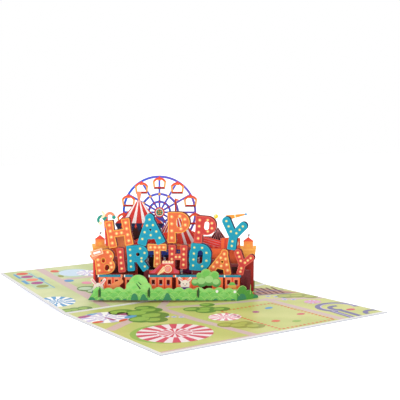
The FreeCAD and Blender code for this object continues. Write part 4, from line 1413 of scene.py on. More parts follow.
@dataclass(frozen=True)
class Glyph:
    """Capital drawn about its own middle, as strokes, counters and places of its bulbs."""

    wide: float
    high: float
    stroke: float
    flare: float = 1.14

    @property
    def across(self) -> float:
        """Place of the right stem's middle line."""
        return (self.wide - self.stroke) / 2

    @property
    def up(self) -> float:
        """Half the height."""
        return self.high / 2

    def stem_at(self, place: float) -> list[Outline]:
        """Upright stroke, a little wider at its ends."""
        return [bar((place, 0), (place, end), self.stroke / self.flare, self.flare * self.stroke)
                for end in (-self.up, self.up)]

    def bowl(self, radius: float, centre: float) -> list[Outline]:
        """Round stroke that joins the left stem.

        Args:
            radius: Its outer radius.
            centre: Height of its middle.

        Returns:
            Its outlines.
        """
        left, right = -self.across, self.wide / 2 - radius
        return [disc(right, centre, radius), box(left, centre, right, min(self.up, centre + radius)),
                box(left, max(-self.up, centre - radius), right, centre)]

    def stem_lamps(self) -> list[Point]:
        """Bulbs on the left stem, from the foot up."""
        return line_of((-self.across, -0.72 * self.up), (-self.across, 0.76 * self.up), 4)

    def bowl_lamps(self, radius: float, centre: float, first: float, last: float, count: int) -> list[Point]:
        """Bulbs around a bowl, between two angles in degrees."""
        return arc(self.wide / 2 - radius, centre, 0.66 * radius + 0.3, first, last, count - 1)

    def draw_h(self) -> Drawing:
        """Two stems and a crossbar.

        Returns:
            Strokes, counters and bulbs.
        """
        across = self.across
        cross = bar((-across, 0), (across, 0), 0.85 * self.stroke)
        return (self.stem_at(-across) + self.stem_at(across) + [cross], [],
                both_sides(self.stem_lamps()) + line_of((-0.3 * across, 0), (0.3 * across, 0), 2))

    def draw_a(self) -> Drawing:
        """Two leaning legs and a crossbar.

        Returns:
            Strokes, counters and bulbs.
        """
        across, up, stroke = self.across, self.up, self.stroke
        peak = up - stroke / 2
        legs = [bar((way * across, -up), (0, peak), 1.2 * stroke, 0.85 * stroke) for way in (-1, 1)]
        cross = bar((-0.55 * across, -0.42 * up), (0.55 * across, -0.42 * up), stroke)
        lamps = line_of((-0.9 * across, -0.66 * up), (-0.31 * across, 0.3 * up), 3)
        return (legs + [disc(0, peak, 0.6 * stroke), cross], [disc(0, -0.02 * up, 0.9)],
                both_sides(lamps) + [(0, 0.72 * up), (0, -0.42 * up)])

    def draw_p(self) -> Drawing:
        """Stem with one bowl.

        Returns:
            Strokes, counters and bulbs.
        """
        radius = 0.325 * self.high
        spot = self.wide / 2 - radius
        centre = self.up - radius
        hole = pill((spot, self.up - 1.24 * radius), (spot, self.up - 0.76 * radius), 0.56 * radius)
        return (self.stem_at(-self.across) + self.bowl(radius, centre), [hole],
                self.stem_lamps() + self.bowl_lamps(radius, centre, 85, -75, 4))

    def draw_r(self) -> Drawing:
        """Stem with one bowl and a leg.

        Returns:
            Strokes, counters and bulbs.
        """
        across, up = self.across, self.up
        radius = 0.31 * self.high
        leg = bar((0, up - 1.6 * radius), (across, -up), self.stroke, self.flare * self.stroke)
        return (self.stem_at(-across) + [leg] + self.bowl(radius, up - radius),
                [disc(0.02 * self.wide, up - 1.1 * radius, 0.26 * radius)],
                self.stem_lamps() + self.bowl_lamps(radius, up - radius, 80, -70, 3)
                + line_of((0.5 * across, -0.3 * up), (0.92 * across, -0.76 * up), 2))

    def draw_b(self) -> Drawing:
        """Stem with two bowls.

        Returns:
            Strokes, counters and bulbs.
        """
        wide, up = self.wide, self.up
        upper, lower = 0.25 * self.high, 0.30 * self.high
        holes = [pill((-0.07 * wide, 0.08 * up), (-0.07 * wide, 0.2 * up), 0.2 * wide),
                 pill((0.07 * wide, -0.62 * up), (0.1 * wide, -0.48 * up), 0.26 * wide)]
        bowls = self.bowl(upper, up - upper) + self.bowl(lower, lower - up)
        return (self.stem_at(-self.across) + bowls, holes,
                self.stem_lamps() + self.bowl_lamps(upper, up - upper, 70, -10, 2)
                + self.bowl_lamps(lower, lower - up, 30, -75, 3))

    def draw_d(self) -> Drawing:
        """Stem with one tall bowl, made of two that overlap.

        Returns:
            Strokes, counters and bulbs.
        """
        across, up = self.across, self.up
        radius = 0.39 * self.high
        reach = up - radius
        spot = self.wide / 2 - radius
        hole = pill((spot, 1.6 * reach), (spot, -1.6 * reach), 0.56 * radius)
        ringed = [(-0.1 * across + 1.02 * across * math.cos(math.radians(step)),
                   0.8 * up * math.sin(math.radians(step))) for step in (78, 30, -18, -66)]
        return (self.stem_at(-across) + self.bowl(radius, reach) + self.bowl(radius, -reach), [hole],
                self.stem_lamps() + ringed)

    def draw_t(self) -> Drawing:
        """Stem under a bar.

        Returns:
            Strokes, counters and bulbs.
        """
        up, side = self.up, self.wide / 2
        top = up - self.stroke / 2
        halves = [bar((0, top), (way * side, top), self.stroke / self.flare, self.flare * self.stroke)
                  for way in (-1, 1)]
        return (halves + self.stem_at(0), [],
                line_of((-0.8 * side, top), (0.8 * side, top), 4) + line_of((0, 0.3 * up), (0, -0.8 * up), 3))

    def draw_i(self) -> Drawing:
        """One stem."""
        return self.stem_at(0), [], line_of((0, -0.76 * self.up), (0, 0.76 * self.up), 4)

    def draw_y(self) -> Drawing:
        """Two arms with round ends on a foot.

        Returns:
            Strokes, counters and bulbs.
        """
        across, up, stroke, flare = self.across, self.up, self.stroke, self.flare
        fork = (0, -0.18 * up)
        tips = [(-across, up - stroke / 2), (0.9 * across, up - stroke / 2 - 0.1 * self.high)]
        arms = [bar(tip, fork, flare * stroke, stroke) for tip in tips]
        ends = [disc(*tip, flare * stroke / 2) for tip in tips]
        foot = [bar(fork, (0, -up), stroke, flare * stroke), disc(*fork, stroke / 2)]
        lamps = [lamp for tip in tips for lamp in line_of(tip, fork, 4)[:3]]
        return arms + ends + foot, [], lamps + line_of(fork, (0, -0.82 * up), 3)[1:]

    def drawn(self, sign: Sign) -> Drawing:
        """Draws a capital.

        Args:
            sign: Which one.

        Returns:
            Strokes, counters and places of the bulbs.
        """
        ways = {Sign.A: self.draw_a, Sign.B: self.draw_b, Sign.D: self.draw_d, Sign.H: self.draw_h,
                Sign.I: self.draw_i, Sign.P: self.draw_p, Sign.R: self.draw_r, Sign.T: self.draw_t,
                Sign.Y: self.draw_y}
        return ways[sign]()


@dataclass(frozen=True)
class Letter:
    """One block letter of the greeting."""

    sign: Sign
    across: float
    up: float
    width: float
    height: float
    tilt: float
    tint: Tint
    stroke: float
    corner: float = 1.1

    def placed(self, outlines: list[Outline]) -> list[Outline]:
        """Outlines moved to the letter's place."""
        return [turned(outline, self.across, self.up, self.tilt) for outline in outlines]

    def drawn(self, inset: float) -> Drawing:
        """Letter drawn about its own middle, with round corners.

        Args:
            inset: How far the outline stays inside the cut letter.

        Returns:
            Strokes, counters and places of the bulbs.
        """
        corner = max(self.corner, inset + 0.1)
        glyph = Glyph(self.width - 2 * corner, self.height - 2 * corner, self.stroke - 2 * corner)
        strokes, holes, bulbs = glyph.drawn(self.sign)
        return [grown(outline, corner - inset) for outline in strokes], holes, bulbs


@dataclass
class Greeting:
    """Two rows of block letters with rims, faces and bulbs, and a printed shadow beside each."""

    press: Press
    top_stroke: float = 6.6
    bottom_stroke: float = 5.6
    shadow: Point = (1.0, 0.7)
    rim: float = 0.8
    bulb: float = 0.85
    glow: float = 1.6
    hole_rim: float = 0.6

    def rows(self) -> list[list[Letter]]:
        """Letters, with each row in reading order.

        Returns:
            The bottom row and the top row.
        """
        top = (("H", -44.8, 57.0, 20.4, 22.8, 9.0, Tint.ORANGE),
               ("A", -18.8, 60.2, 22.6, 25.2, 4.0, Tint.TEAL),
               ("P", 4.9, 61.8, 18.4, 26.0, 0.0, Tint.ORANGE),
               ("P", 27.0, 59.8, 17.4, 23.0, -4.6, Tint.RED),
               ("Y", 50.4, 56.4, 21.6, 26.6, -8.0, Tint.TEAL))
        bottom = (("B", -57.0, 32.7, 16.4, 20.8, 7.0, Tint.ORANGE),
                  ("I", -43.4, 34.1, 6.4, 20.8, 5.0, Tint.RED),
                  ("R", -29.4, 36.0, 17.6, 21.6, 3.0, Tint.TEAL),
                  ("T", -13.2, 38.0, 15.8, 19.8, 0.0, Tint.GOLD),
                  ("H", 4.0, 37.0, 15.4, 20.2, -1.5, Tint.RED),
                  ("D", 23.1, 36.8, 17.2, 22.8, -4.0, Tint.TEAL),
                  ("A", 41.2, 33.2, 19.2, 20.6, -14.0, Tint.ORANGE),
                  ("Y", 58.2, 32.0, 17.8, 20.6, -14.0, Tint.RED))
        return [[Letter(Sign[row[0]], *row[1:], stroke) for row in rows]
                for rows, stroke in ((bottom, self.bottom_stroke), (top, self.top_stroke))]

    def build(self, frame: dict) -> None:
        """Dresses the sheet and prints the letters, those of one row and tint together.

        Args:
            frame: The loaded frame.
        """
        dress(frame, "greeting", SheetFinish("greeting_card", "6B1822", back="B4463A"))
        plane = front_of(GREETING_DEPTH, "letter_card")
        for row, letters in zip(("bottom", "top"), self.rows()):
            base = 5 if row == "top" else 0
            for tint in Tint:
                same = [letter for letter in letters if letter.tint is tint]
                if same:
                    self.group("%s_%s_letters" % (row, tint.name.lower()), plane, tint, same, base)

    def group(self, name: str, plane: Plane, tint: Tint, letters: list[Letter], base: int) -> None:
        """Prints letters of one tint.

        Args:
            name: Start of the names of the pieces.
            plane: Face of the letter sheet.
            tint: Their colours.
            letters: The letters.
            base: Layers already printed below them.
        """
        rim, face, glow = tint.value
        full, counters, inner, wider, spots = [], [], [], [], []
        for letter in letters:
            strokes, holes, _ = letter.drawn(0.0)
            narrow, _, bulbs = letter.drawn(self.rim)
            full += letter.placed(strokes)
            counters += letter.placed(holes)
            inner += letter.placed(narrow)
            wider += letter.placed([grown(hole, self.hole_rim) for hole in holes])
            spots += letter.placed([bulbs])[0]
        if tint is Tint.TEAL:
            shade = [[(x + self.shadow[0], y + self.shadow[1]) for x, y in outline] for outline in full]
            self.press.plate(name + "_shadow", plane, Inks.NAVY, shade, base + 1, counters)
        self.press.plate(name + "_rim", plane, rim, full, base + 2, counters)
        self.press.plate(name + "_face", plane, face, inner, base + 3, wider)
        self.press.plate(name + "_glow", plane, glow,
                         [disc(x, y, self.glow, 16) for x, y in spots], base + 4, counters)
        self.press.plate(name + "_bulbs", plane, Inks.BULB,
                         [disc(x, y, self.bulb, 14) for x, y in spots], base + 5)


@dataclass
class Trinkets:
    """Small pieces around the greeting: ticket, jester staff, party horn and balloon."""

    press: Press
    ticket_at: Point = (-63.4, 40.6)
    ticket_tilt: float = 17.0

    def build(self, frame: dict) -> None:
        """Dresses and prints the small pieces.

        Args:
            frame: The loaded frame.
        """
        dress(frame, "ticket", SheetFinish("ticket_card", "F2906A"))
        plane = front_of(GREETING_DEPTH - SHEET, "orange_card")
        for layer, (name, ink, wide, high, corner) in enumerate((("rim", Inks.CREAM, 4.4, 1.9, 0.4),
                                                                 ("band", Inks.SALMON, 3.9, 1.5, 0.3),
                                                                 ("field", Inks.WHITE, 2.8, 0.6, 0.3)), 1):
            field = grown(box(-wide, -high, wide, high), corner)
            self.press.plate("ticket_" + name, plane, ink,
                             [turned(field, *self.ticket_at, self.ticket_tilt)], layer)
        dress(frame, "jester_staff", SheetFinish("jester_card", "CF3A2B"))
        plane = front_of(GREETING_DEPTH + SHEET, "red_card")
        self.press.plate("jester_right_curl", plane, Inks.SALMON, [curl(-52.2, 70.4, 3.2, 2.4, 0, 180)], 1)
        self.press.plate("jester_left_curl", plane, Inks.JESTER,
                         [curl(-58.8, 67.9, 3.2, 2.2, 90, 240),
                          bar((-55.6, 68.4), (-59.0, 71.1), 4.2, 2.2)], 1)
        self.press.plate("jester_top_curl", plane, Inks.CREAM, [curl(-59.4, 72.4, 2.3, 1.7, -90, 90)], 2)
        self.press.plate("jester_balls", plane, Inks.JESTER, [disc(-49.0, 70.2, 1.6)], 2)
        self.press.plate("jester_gold_ball", plane, Inks.CREAM, [disc(-60.3, 65.2, 1.5)], 2)
        self.press.plate("jester_button", plane, Inks.BLUE, [disc(-55.2, 60.6, 1.3)], 2)
        dress(frame, "party_horn", SheetFinish("horn_card", "EE9A34"))
        plane = front_of(GREETING_DEPTH + SHEET, "orange_card")
        self.press.plate("horn_band", plane, Inks.CREAM, [bar((51.0, 71.2), (52.2, 71.45), 2.9, 2.7)], 1)
        self.press.plate("horn_tip", plane, Inks.SKY, [disc(60.6, 73.0, 1.0)], 1)
        dress(frame, "balloon", SheetFinish("balloon_card", "F3CE24"))
        plane = front_of(GREETING_DEPTH + SHEET, "yellow_card")
        self.press.plate("balloon_glint", plane, Inks.CREAM, [oval(35.3, 71.8, 0.5, 0.8, 20)], 1)


@dataclass
class Castle:
    """Castle facade with two gold towers, red walls and small dark windows."""

    press: Press
    left: float = -61.5
    right: float = 63.2
    wall: float = 40.0
    tower_half: float = 6.7
    turret_half: float = 4.0

    def tower(self, name: str, plane: Plane, middle: float, base: float, top: float) -> None:
        """Prints one tower: gold block, turret with windows, red cone and dark flag.

        Args:
            name: Start of the names of the pieces.
            plane: Face of the facade.
            middle: Place of its middle.
            base: Foot of the gold block.
            top: Top of the gold block.
        """
        half, turret = self.tower_half, self.turret_half
        roof_low = top + 5.6
        roof_top = roof_low + 3.6
        merlon = 1.3
        merlons = [box(middle + way * (half - merlon) - merlon, top - 0.5,
                       middle + way * (half - merlon) + merlon, top + 1.8) for way in (-1, 1)]
        self.press.plate(name + "_block", plane, Inks.GOLD, [
            [(middle - half + 1.6, base), (middle + half - 1.6, base), (middle + half, top),
             (middle - half, top)], *merlons], 2)
        self.press.plate(name + "_turret", plane, Inks.AMBER,
                         [box(middle - turret, top - 0.8, middle + turret, roof_low)], 3)
        self.press.plate(name + "_roof", plane, Inks.SCARLET,
                         [[(middle - turret - 0.8, roof_low - 0.1), (middle + turret + 0.8, roof_low - 0.1),
                           (middle, roof_top)]], 4)
        self.press.plate(name + "_flag", plane, Inks.MAROON,
                         [[(middle, roof_top + 0.9), (middle + 2.4, roof_top + 1.7),
                           (middle, roof_top + 2.4)],
                          box(middle - 0.3, roof_top - 0.2, middle + 0.3, roof_top + 2.4)], 2)
        self.press.plate(name + "_window", plane, Inks.ORANGE_RIM,
                         [box(middle - 1.6, top + 0.6, middle + 1.6, top + 3.0),
                          [(middle - half + 1.0, top - 2.2), (middle + half - 1.0, top - 2.2),
                           (middle + half - 1.2, top - 3.4), (middle - half + 1.2, top - 3.4)]], 4)

    def build(self, frame: dict) -> None:
        """Dresses and prints the facade.

        Args:
            frame: The loaded frame.
        """
        dress(frame, "castle_facade", SheetFinish("castle_card", "8E1E1A", "D9472A", 16.0, 42.0))
        plane = front_of(FACADE_DEPTH, "orange_card")
        base = self.wall - 7.0
        # Painted light and shade: the left wall is printed in a brighter crimson as if lit, the right wall in
        # deep red as shaded by the letters.
        self.press.plate("castle_left_wall_painted_light", plane, Inks.CRIMSON,
                         [box(self.left - 6.1, FOOT, self.left + 4.9, base + 1)], 1)
        self.press.plate("castle_right_wall_painted_shade", plane, Inks.DEEP_RED,
                         [box(self.right - 4.9, FOOT, self.right + 4.9, base + 1)], 1)
        self.tower("left_tower", plane, self.left, base, self.wall + 5.2)
        self.tower("right_tower", plane, self.right, base, self.wall + 3.8)
        self.press.plate("castle_foot", plane, Inks.FLAME,
                         [box(self.right + 0.6, FOOT, self.right + 4.9, FOOT + 3.4)], 2)
        self.press.plate("castle_arch", plane, Inks.MAROON,
                         [box(57.8, FOOT, 64.0, 16.5), arc(60.9, 16.5, 3.1, 0, 180, 14)], 2)
        self.press.plate("castle_door", plane, Inks.MIST,
                         [box(59.5, 11.0, 62.3, 16.4), arc(60.9, 16.4, 1.4, 0, 180, 10)], 3)
        self.press.plate("castle_inner_walls", plane, Inks.EMBER,
                         [box(self.left + 6.8, 22, -32, self.wall + 4),
                          box(28, 22, self.right - 6.8, self.wall + 3)], 1)
        self.press.plate("castle_beam", plane, Inks.FLAME,
                         [box(-31.8, self.wall + 2.2, 27.8, self.wall + 6.4)], 1)
        self.press.plate("castle_beam_line", plane, Inks.GOLD_RIM,
                         [box(-31.8, self.wall + 5.4, 27.8, self.wall + 6.1)], 2)
        self.press.plate("castle_gables", plane, Inks.GLOW_ORANGE,
                         [[(-50.6, 44.2), (-35.4, 44.2), (-35.4, 52.3), (-43.0, 55.1), (-50.6, 52.3)]], 2)
        self.press.plate("castle_gate", plane, Inks.FLAME,
                         [[(40.4, 43.2), (56.1, 43.2), (56.1, 51.7), (48.2, 52.3), (40.4, 51.7)]], 2)
        self.press.plate("castle_gate_trim", plane, Inks.SCARLET,
                         [box(43.0, 43.2, 45.0, 51.6), box(51.4, 43.2, 52.2, 51.6)], 3)
        self.press.plate("castle_gate_face", plane, Inks.CREAM, [oval(54.0, 47.4, 1.1, 1.8)], 3)
        self.press.plate("castle_windows", plane, Inks.MAROON,
                         [shape for x in (-52, -44, -36, 32, 40, 48)
                          for shape in (box(x - 1.2, 24, x + 1.2, 29), arc(x, 29, 1.2, 0, 180, 10))], 2)


@dataclass
class Carousel:
    """Merry-go-round with a red roof, a blue band, spiral posts and two white horses."""

    press: Press
    left: float = -24.0
    right: float = 38.0
    platform: float = 20.0
    band_low: float = 34.7
    band_high: float = 41.0
    scallops: int = 12
    roof_dots: int = 30

    def build(self, frame: dict) -> None:
        """Dresses and prints the merry-go-round.

        Args:
            frame: The loaded frame.
        """
        dress(frame, "carousel", SheetFinish("carousel_card", "D02A22", "FF4636", 40.0, 47.0))
        plane = front_of(CAROUSEL_DEPTH, "red_card")
        self.press.plate("carousel_platform", plane, Inks.DARK,
                         [box(self.left, FOOT, self.right, self.platform)], 1)
        self.press.plate("carousel_platform_edge", plane, Inks.PURPLE,
                         [box(self.left, self.platform - 3.4, self.right, self.platform - 1.0)], 2)
        self.press.plate("carousel_band", plane, Inks.BLUE,
                         [box(self.left, self.band_low, self.right, self.band_high)], 1)
        step = (self.right - self.left) / self.scallops
        middles = [self.left + step * (index + 0.5) for index in range(self.scallops)]
        self.press.plate("carousel_scallops", plane, Inks.NAVY,
                         [arc(x, self.band_low + 1.7, step / 2 - 0.25, 180, 360, 10) for x in middles], 2)
        self.press.plate("carousel_lamps", plane, Inks.BULB,
                         [disc(x, self.band_high - 1.6, 0.6, 12) for x in middles], 2)
        posts = [self.left + 2.0 + (self.right - self.left - 4.0) * index / 4 for index in range(5)]
        self.press.plate("carousel_posts", plane, Inks.WHITE,
                         [box(x - 0.9, self.platform, x + 0.9, self.band_low) for x in posts], 1)
        self.press.plate("carousel_post_spirals", plane, Inks.SKY,
                         [[(x - 0.9, y), (x + 0.9, y + 0.9), (x + 0.9, y + 1.6), (x - 0.9, y + 0.7)]
                          for x in posts for y in (21.2, 23.9, 26.6, 29.3, 32.0)], 2)
        self.horses(plane, posts)
        self.press.plate("carousel_roof_lines", plane, Inks.PINK,
                         [bar((-36, 46.0), (-22, 52.0), 0.45), bar((-34, 43.2), (-14, 51.8), 0.45),
                          bar((24.4, 51.6), (41, 46.8), 0.45), bar((24.2, 49.6), (41, 44.6), 0.4),
                          bar((24.0, 47.6), (41, 42.6), 0.4)], 1)
        self.press.plate("carousel_canopy", plane, Inks.SCARLET,
                         [[(-7, 42.0), (6.6, 42.0), (6.6, 53.8), (-5, 54.8)]], 1)
        spread = random.Random(7)
        dots = [disc(spread.uniform(-6, 6), spread.uniform(43, 52.5), 0.5, 10) for _ in range(self.roof_dots)]
        self.press.plate("carousel_roof_dots", plane, Inks.ORANGE_RIM, dots, 2)

    def horses(self, plane: Plane, posts: list[float]) -> None:
        """Plain white horses with gold manes and blue saddles.

        Args:
            plane: Face of the merry-go-round.
            posts: Places of the posts.
        """
        bodies, saddles, manes = [], [], []
        for post in (posts[1], posts[3]):
            saddle = self.platform + 7.5
            bodies += [pill((post - 4.4, saddle), (post + 4.0, saddle), 3.6),
                       bar((post + 3.6, saddle), (post + 6.4, saddle + 4.6), 2.6, 1.8),
                       pill((post + 6.0, saddle + 4.6), (post + 8.2, saddle + 3.4), 1.8),
                       bar((post - 4.6, saddle), (post - 5.6, self.platform), 1.4, 1.0),
                       bar((post + 3.6, saddle), (post + 5.0, self.platform), 1.4, 1.0)]
            manes += [bar((post - 5.0, saddle + 0.6), (post - 8.0, saddle - 3.0), 1.6, 0.8),
                      bar((post + 2.6, saddle + 1.6), (post + 5.2, saddle + 5.2), 0.9, 0.7)]
            saddles.append(box(post - 1.6, saddle - 0.6, post + 1.6, saddle + 1.7))
        self.press.plate("carousel_horses", plane, Inks.WHITE, bodies, 3)
        self.press.plate("carousel_manes", plane, Inks.GOLD_RIM, manes, 4)
        self.press.plate("carousel_saddles", plane, Inks.SKY, saddles, 4)


@dataclass
class Tents:
    """Big tent with navy scallops, and the marquee with a small tent beside it."""

    press: Press
    middle: float = -29.5
    eave: float = 62.0
    apex: float = 83.5
    half: float = 20.5

    def build(self, frame: dict) -> None:
        """Dresses and prints the tents.

        Args:
            frame: The loaded frame.
        """
        dress(frame, "big_tent", TentFinish("big_tent_card", "D8342C", roofs=(
            Roof(self.middle, self.apex, self.eave, self.half, stripes=5.0, crowding=0.0, shade=0.12),)))
        dress(frame, "marquee", TentFinish("marquee_card", "DE382E", pale="FFFFFF", wall="8C1C20", roofs=(
            Roof(1.5, 73.5, 40.0, 24.0, stripes=9.0, crowding=0.3, shade=0.1),
            Roof(38.0, 58.8, 44.0, 9.0, stripes=8.0, crowding=0.0, shade=0.9))))
        for side, make in (("", front_of), ("_behind", back_of)):
            plane = make(TENT_DEPTH, "striped_card")
            scallop = self.half / 7
            places = [self.middle + (2 * index - 6) * scallop for index in range(7)]
            self.press.plate("tent_scallops" + side, plane, Inks.NAVY,
                             [[(x - scallop, self.eave + 0.6), (x, self.eave - 7.2),
                               (x + scallop, self.eave + 0.6)] for x in places], 2)
            self.press.plate("tent_pennants" + side, plane, Inks.SCARLET,
                             [[(x, self.eave + 0.6), (x + scallop, self.eave - 4.0),
                               (x + 2 * scallop, self.eave + 0.6)] for x in places[:-1]], 1)
            self.press.plate("tent_finial" + side, plane, Inks.SALMON,
                             [bar((self.middle, self.apex - 1.4), (self.middle, self.apex + 4.6), 1.6, 4.2),
                              disc(self.middle, self.apex + 4.4, 2.1)], 1)
            self.press.plate("tent_door" + side, plane, Inks.DARK,
                             [[(self.middle - 9, FOOT), (self.middle + 9, FOOT),
                               (self.middle, self.eave - 4)]], 1)
            plane = make(MARQUEE_DEPTH, "striped_card")
            self.press.plate("marquee_curtain" + side, plane, Inks.MAGENTA,
                             [[(6.0, 18.6), (22.0, 18.6), (19.6, 25.2), (8.4, 25.2)]], 1)
            self.press.plate("marquee_pole" + side, plane, Inks.DEEP_RED, [box(0.8, 72.0, 2.2, 83.4)], 1)
            self.press.plate("marquee_flag" + side, plane, Inks.FLAME,
                             [[(1.5, 80.9), (4.9, 82.2), (1.5, 83.5)]], 2)
            # The small tent's dark ground under its pink lines is partly its dark print, partly painted shade.
            self.press.plate("small_tent_ground" + side, plane, Inks.DARK,
                             [[(29.6, 44.2), (46.4, 44.2), (38.0, 58.4)]], 1)
            self.press.plate("small_tent_lines" + side, plane, Inks.PINK,
                             [bar((38.0, 57.0), (38.0 + 3.1 * step, 44.4), 0.15, 0.5)
                              for step in range(-2, 3)], 2)


@dataclass
class Wheel:
    """Ferris wheel: hub, dots where spokes cross a ring, and twelve hanging cars, on both faces."""

    press: Press
    across: float = -12.6
    up: float = 70.7
    radius: float = 32.0
    ring_width: float = 2.0
    middle_ring: float = 16.9
    inner_ring: float = 10.2
    count: int = 12
    car_width: float = 11.9
    car_height: float = 10.7
    bar_width: float = 1.9

    def build(self, frame: dict) -> None:
        """Dresses the wheel and prints its cars.

        Args:
            frame: The loaded frame.
        """
        dress(frame, "ferris_wheel", WheelFinish("wheel_card", "2258D2", core="8E8FC4"))
        dress(frame, "wheel_hub", SheetFinish("hub_card", "B0202A"))
        for side, make in (("", front_of), ("_behind", back_of)):
            self.cars(side, make(WHEEL_DEPTH, "blue_card"))
        self.hub("", front_of(HUB_DEPTH, "red_card"))
        self.hub("_behind", back_of(WHEEL_DEPTH, "blue_card"))
        self.fence()

    def cars(self, side: str, plane: Plane) -> None:
        """Prints the cars and dots on one face.

        Args:
            side: End of the names of the pieces.
            plane: The face.
        """
        roofs, posts, floors, shades, dots, small = [], [], [], [], [], []
        half = self.car_width / 2
        thick = self.bar_width
        rim = self.radius - self.ring_width / 2
        for index in range(self.count):
            angle = 2 * math.pi * index / self.count
            cos, sin = math.cos(angle), math.sin(angle)
            x, y = self.across + rim * cos, self.up + rim * sin
            roof = y - 0.36 * self.car_height
            floor = y - self.car_height + thick
            roofs += [bar((x, y + 0.4), (x, y - 0.3 * self.car_height), 0.8, 3.2),
                      curl(x, roof - 3.2, half - 0.4, thick, 20, 160)]
            posts += [bar((x + way * (half - thick / 2), roof), (x + way * 0.74 * half, floor - 0.4),
                          0.8 * thick) for way in (-1, 1)]
            posts.append(curl(x, roof - 3.2, half - 1.2, 0.4, 25, 155))
            floors.append(box(x - 0.8 * half, floor - thick, x + 0.8 * half, floor))
            shades.append(box(x - 0.74 * half, floor - thick, x + 0.74 * half, floor - thick + 0.45))
            reach = self.middle_ring - self.ring_width / 2
            dots.append(disc(self.across + reach * cos, self.up + reach * sin, 1.15, 14))
            reach = self.inner_ring - self.ring_width / 2
            small.append(disc(self.across + reach * cos, self.up + reach * sin, 0.7, 12))
        self.press.plate("wheel_car_roofs" + side, plane, Inks.SCARLET, roofs, 2)
        self.press.plate("wheel_car_posts" + side, plane, Inks.ORANGE_RIM, posts, 3)
        self.press.plate("wheel_car_floors" + side, plane, Inks.DEEP_RED, floors, 2)
        self.press.plate("wheel_car_shades" + side, plane, Inks.DARK, shades, 3)
        self.press.plate("wheel_dots" + side, plane, Inks.ORANGE_RIM, dots, 2)
        self.press.plate("wheel_small_dots" + side, plane, Inks.DEEP_RED, small, 2)

    def hub(self, side: str, plane: Plane) -> None:
        """Prints the hub's rings.

        Args:
            side: End of the names of the pieces.
            plane: The face.
        """
        self.press.plate("hub_red" + side, plane, Inks.SCARLET, [disc(self.across, self.up, 4.5)], 2)
        self.press.plate("hub_white" + side, plane, Inks.WHITE, [disc(self.across, self.up, 3.4)], 3)
        self.press.plate("hub_dark" + side, plane, Inks.LEAF_DARK, [disc(self.across, self.up, 2.7)], 4)
        self.press.plate("hub_gold" + side, plane, Inks.ORANGE_RIM,
                         wedges(self.across, self.up, 0.2, 1.9, 4, 20), 5)

    def fence(self) -> None:
        """Darker gaps between the pickets of the fence, on its back."""
        plane = back_of(WHEEL_DEPTH, "green_card")
        step, pickets = 3.9, 31
        edges = [-53 + step * index for index in range(pickets)]
        lines = [box(edge + 2.9, 4.0, edge + 3.5, 12.0) for edge in edges]
        self.press.plate("fence_lines", plane, Inks.LEAF_DARK, lines, 1)


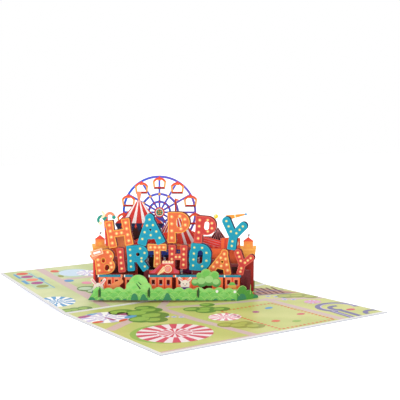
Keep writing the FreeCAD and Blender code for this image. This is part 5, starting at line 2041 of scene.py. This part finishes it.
@dataclass
class Studio:
    """Pale floor, soft lights and the camera."""

    camera_at: tuple[float, float, float] = (-343.0, -575.355, 134.6)
    yaw: float = 32.88
    pitch: float = 4.32
    roll: float = 1.2
    focal: float = 795.3
    frame_width: float = 400.0
    sensor: float = 36.0
    floor_half: float = 4.0
    floor_tone: str = "D2D2D2"
    floor_glow: float = 0.8
    key_at: tuple[float, float, float] = (-0.75, -0.75, 0.95)
    key_to: tuple[float, float, float] = (0, 0, 0.04)
    key_size: float = 0.7
    key_power: float = 5.0

    def camera(self) -> None:
        """Camera at the photograph's angle."""
        yaw, pitch, roll = (math.radians(x) for x in (self.yaw, self.pitch, self.roll))
        look = Vector((math.sin(yaw) * math.cos(pitch), math.cos(yaw) * math.cos(pitch), -math.sin(pitch)))
        right = Vector((math.cos(yaw), -math.sin(yaw), 0))
        down = look.cross(right)
        across = math.cos(roll) * right + math.sin(roll) * down
        fall = -math.sin(roll) * right + math.cos(roll) * down
        data = bpy.data.cameras.new("camera")
        data.lens = self.sensor * self.focal / self.frame_width
        data.sensor_width = self.sensor
        data.clip_start, data.clip_end = 0.01, 20.0
        eye = bpy.data.objects.new("camera", data)
        turn = Matrix((across, -fall, -look)).transposed().to_4x4()
        eye.matrix_world = Matrix.Translation(Vector(self.camera_at) * MM) @ turn
        bpy.context.scene.collection.objects.link(eye)
        bpy.context.scene.camera = eye

    def light(self, name: str, at: tuple[float, float, float], to: tuple[float, float, float],
              size: float, power: float) -> None:
        """Square soft light.

        Args:
            name: Its name.
            at: Where it stands, in metres.
            to: What it points at.
            size: Length of its side.
            power: Power in watts.
        """
        data = bpy.data.lights.new(name, "AREA")
        data.size = size
        data.energy = power
        lamp = bpy.data.objects.new(name, data)
        lamp.location = at
        lamp.rotation_euler = (Vector(to) - Vector(at)).to_track_quat("-Z", "Y").to_euler()
        bpy.context.scene.collection.objects.link(lamp)

    def floor(self) -> None:
        """Plain pale floor that gives off a little light, which isn't part of the card."""
        half = self.floor_half
        data = bpy.data.meshes.new("floor")
        corners = [(x, y, 0) for x, y in box(-half, -half, half, half)]
        data.from_pydata(corners, [], [(0, 1, 2, 3)])
        paint = Paint("floor_paper")
        paint.surface.inputs["Emission Color"].default_value = (1.0, 1.0, 1.0, 1.0)
        paint.surface.inputs["Emission Strength"].default_value = self.floor_glow
        data.materials.append(paint.finish(linear(self.floor_tone), 0.7, 0.02))
        piece = bpy.data.objects.new("floor", data)
        bpy.context.scene.collection.objects.link(piece)

    def build(self) -> None:
        """Sets up the studio."""
        bpy.context.scene.view_settings.view_transform = "Standard"
        self.camera()
        self.floor()
        world = bpy.data.worlds.new("studio")
        world.use_nodes = True
        background = world.node_tree.nodes["Background"]
        background.inputs[0].default_value = (1.0, 1.0, 1.0, 1.0)
        background.inputs[1].default_value = 1.0
        bpy.context.scene.world = world
        self.light("key", self.key_at, self.key_to, self.key_size, self.key_power)
        LOG.info("studio ready")


def main() -> None:
    """Builds every sub-assembly around the frame."""
    logging.basicConfig(level=logging.INFO, format="%(name)s: %(message)s")
    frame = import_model()
    press = Press()
    for rib in range(1, len(RIB_PLACES) + 1):
        dress(frame, "rib_%d" % rib, SheetFinish("rib_card_%d" % rib, "5A1716", core="5A1716"))
    for part in (Lawn(press), Hedge(press), Stalls(press), Greeting(press), Trinkets(press), Castle(press),
                 Carousel(press), Tents(press), Wheel(press)):
        part.build(frame)
        LOG.info("built %s", type(part).__name__)
    Studio().build()
    LOG.info("%d prints", press.count)


if __name__ == "__main__":
    main()
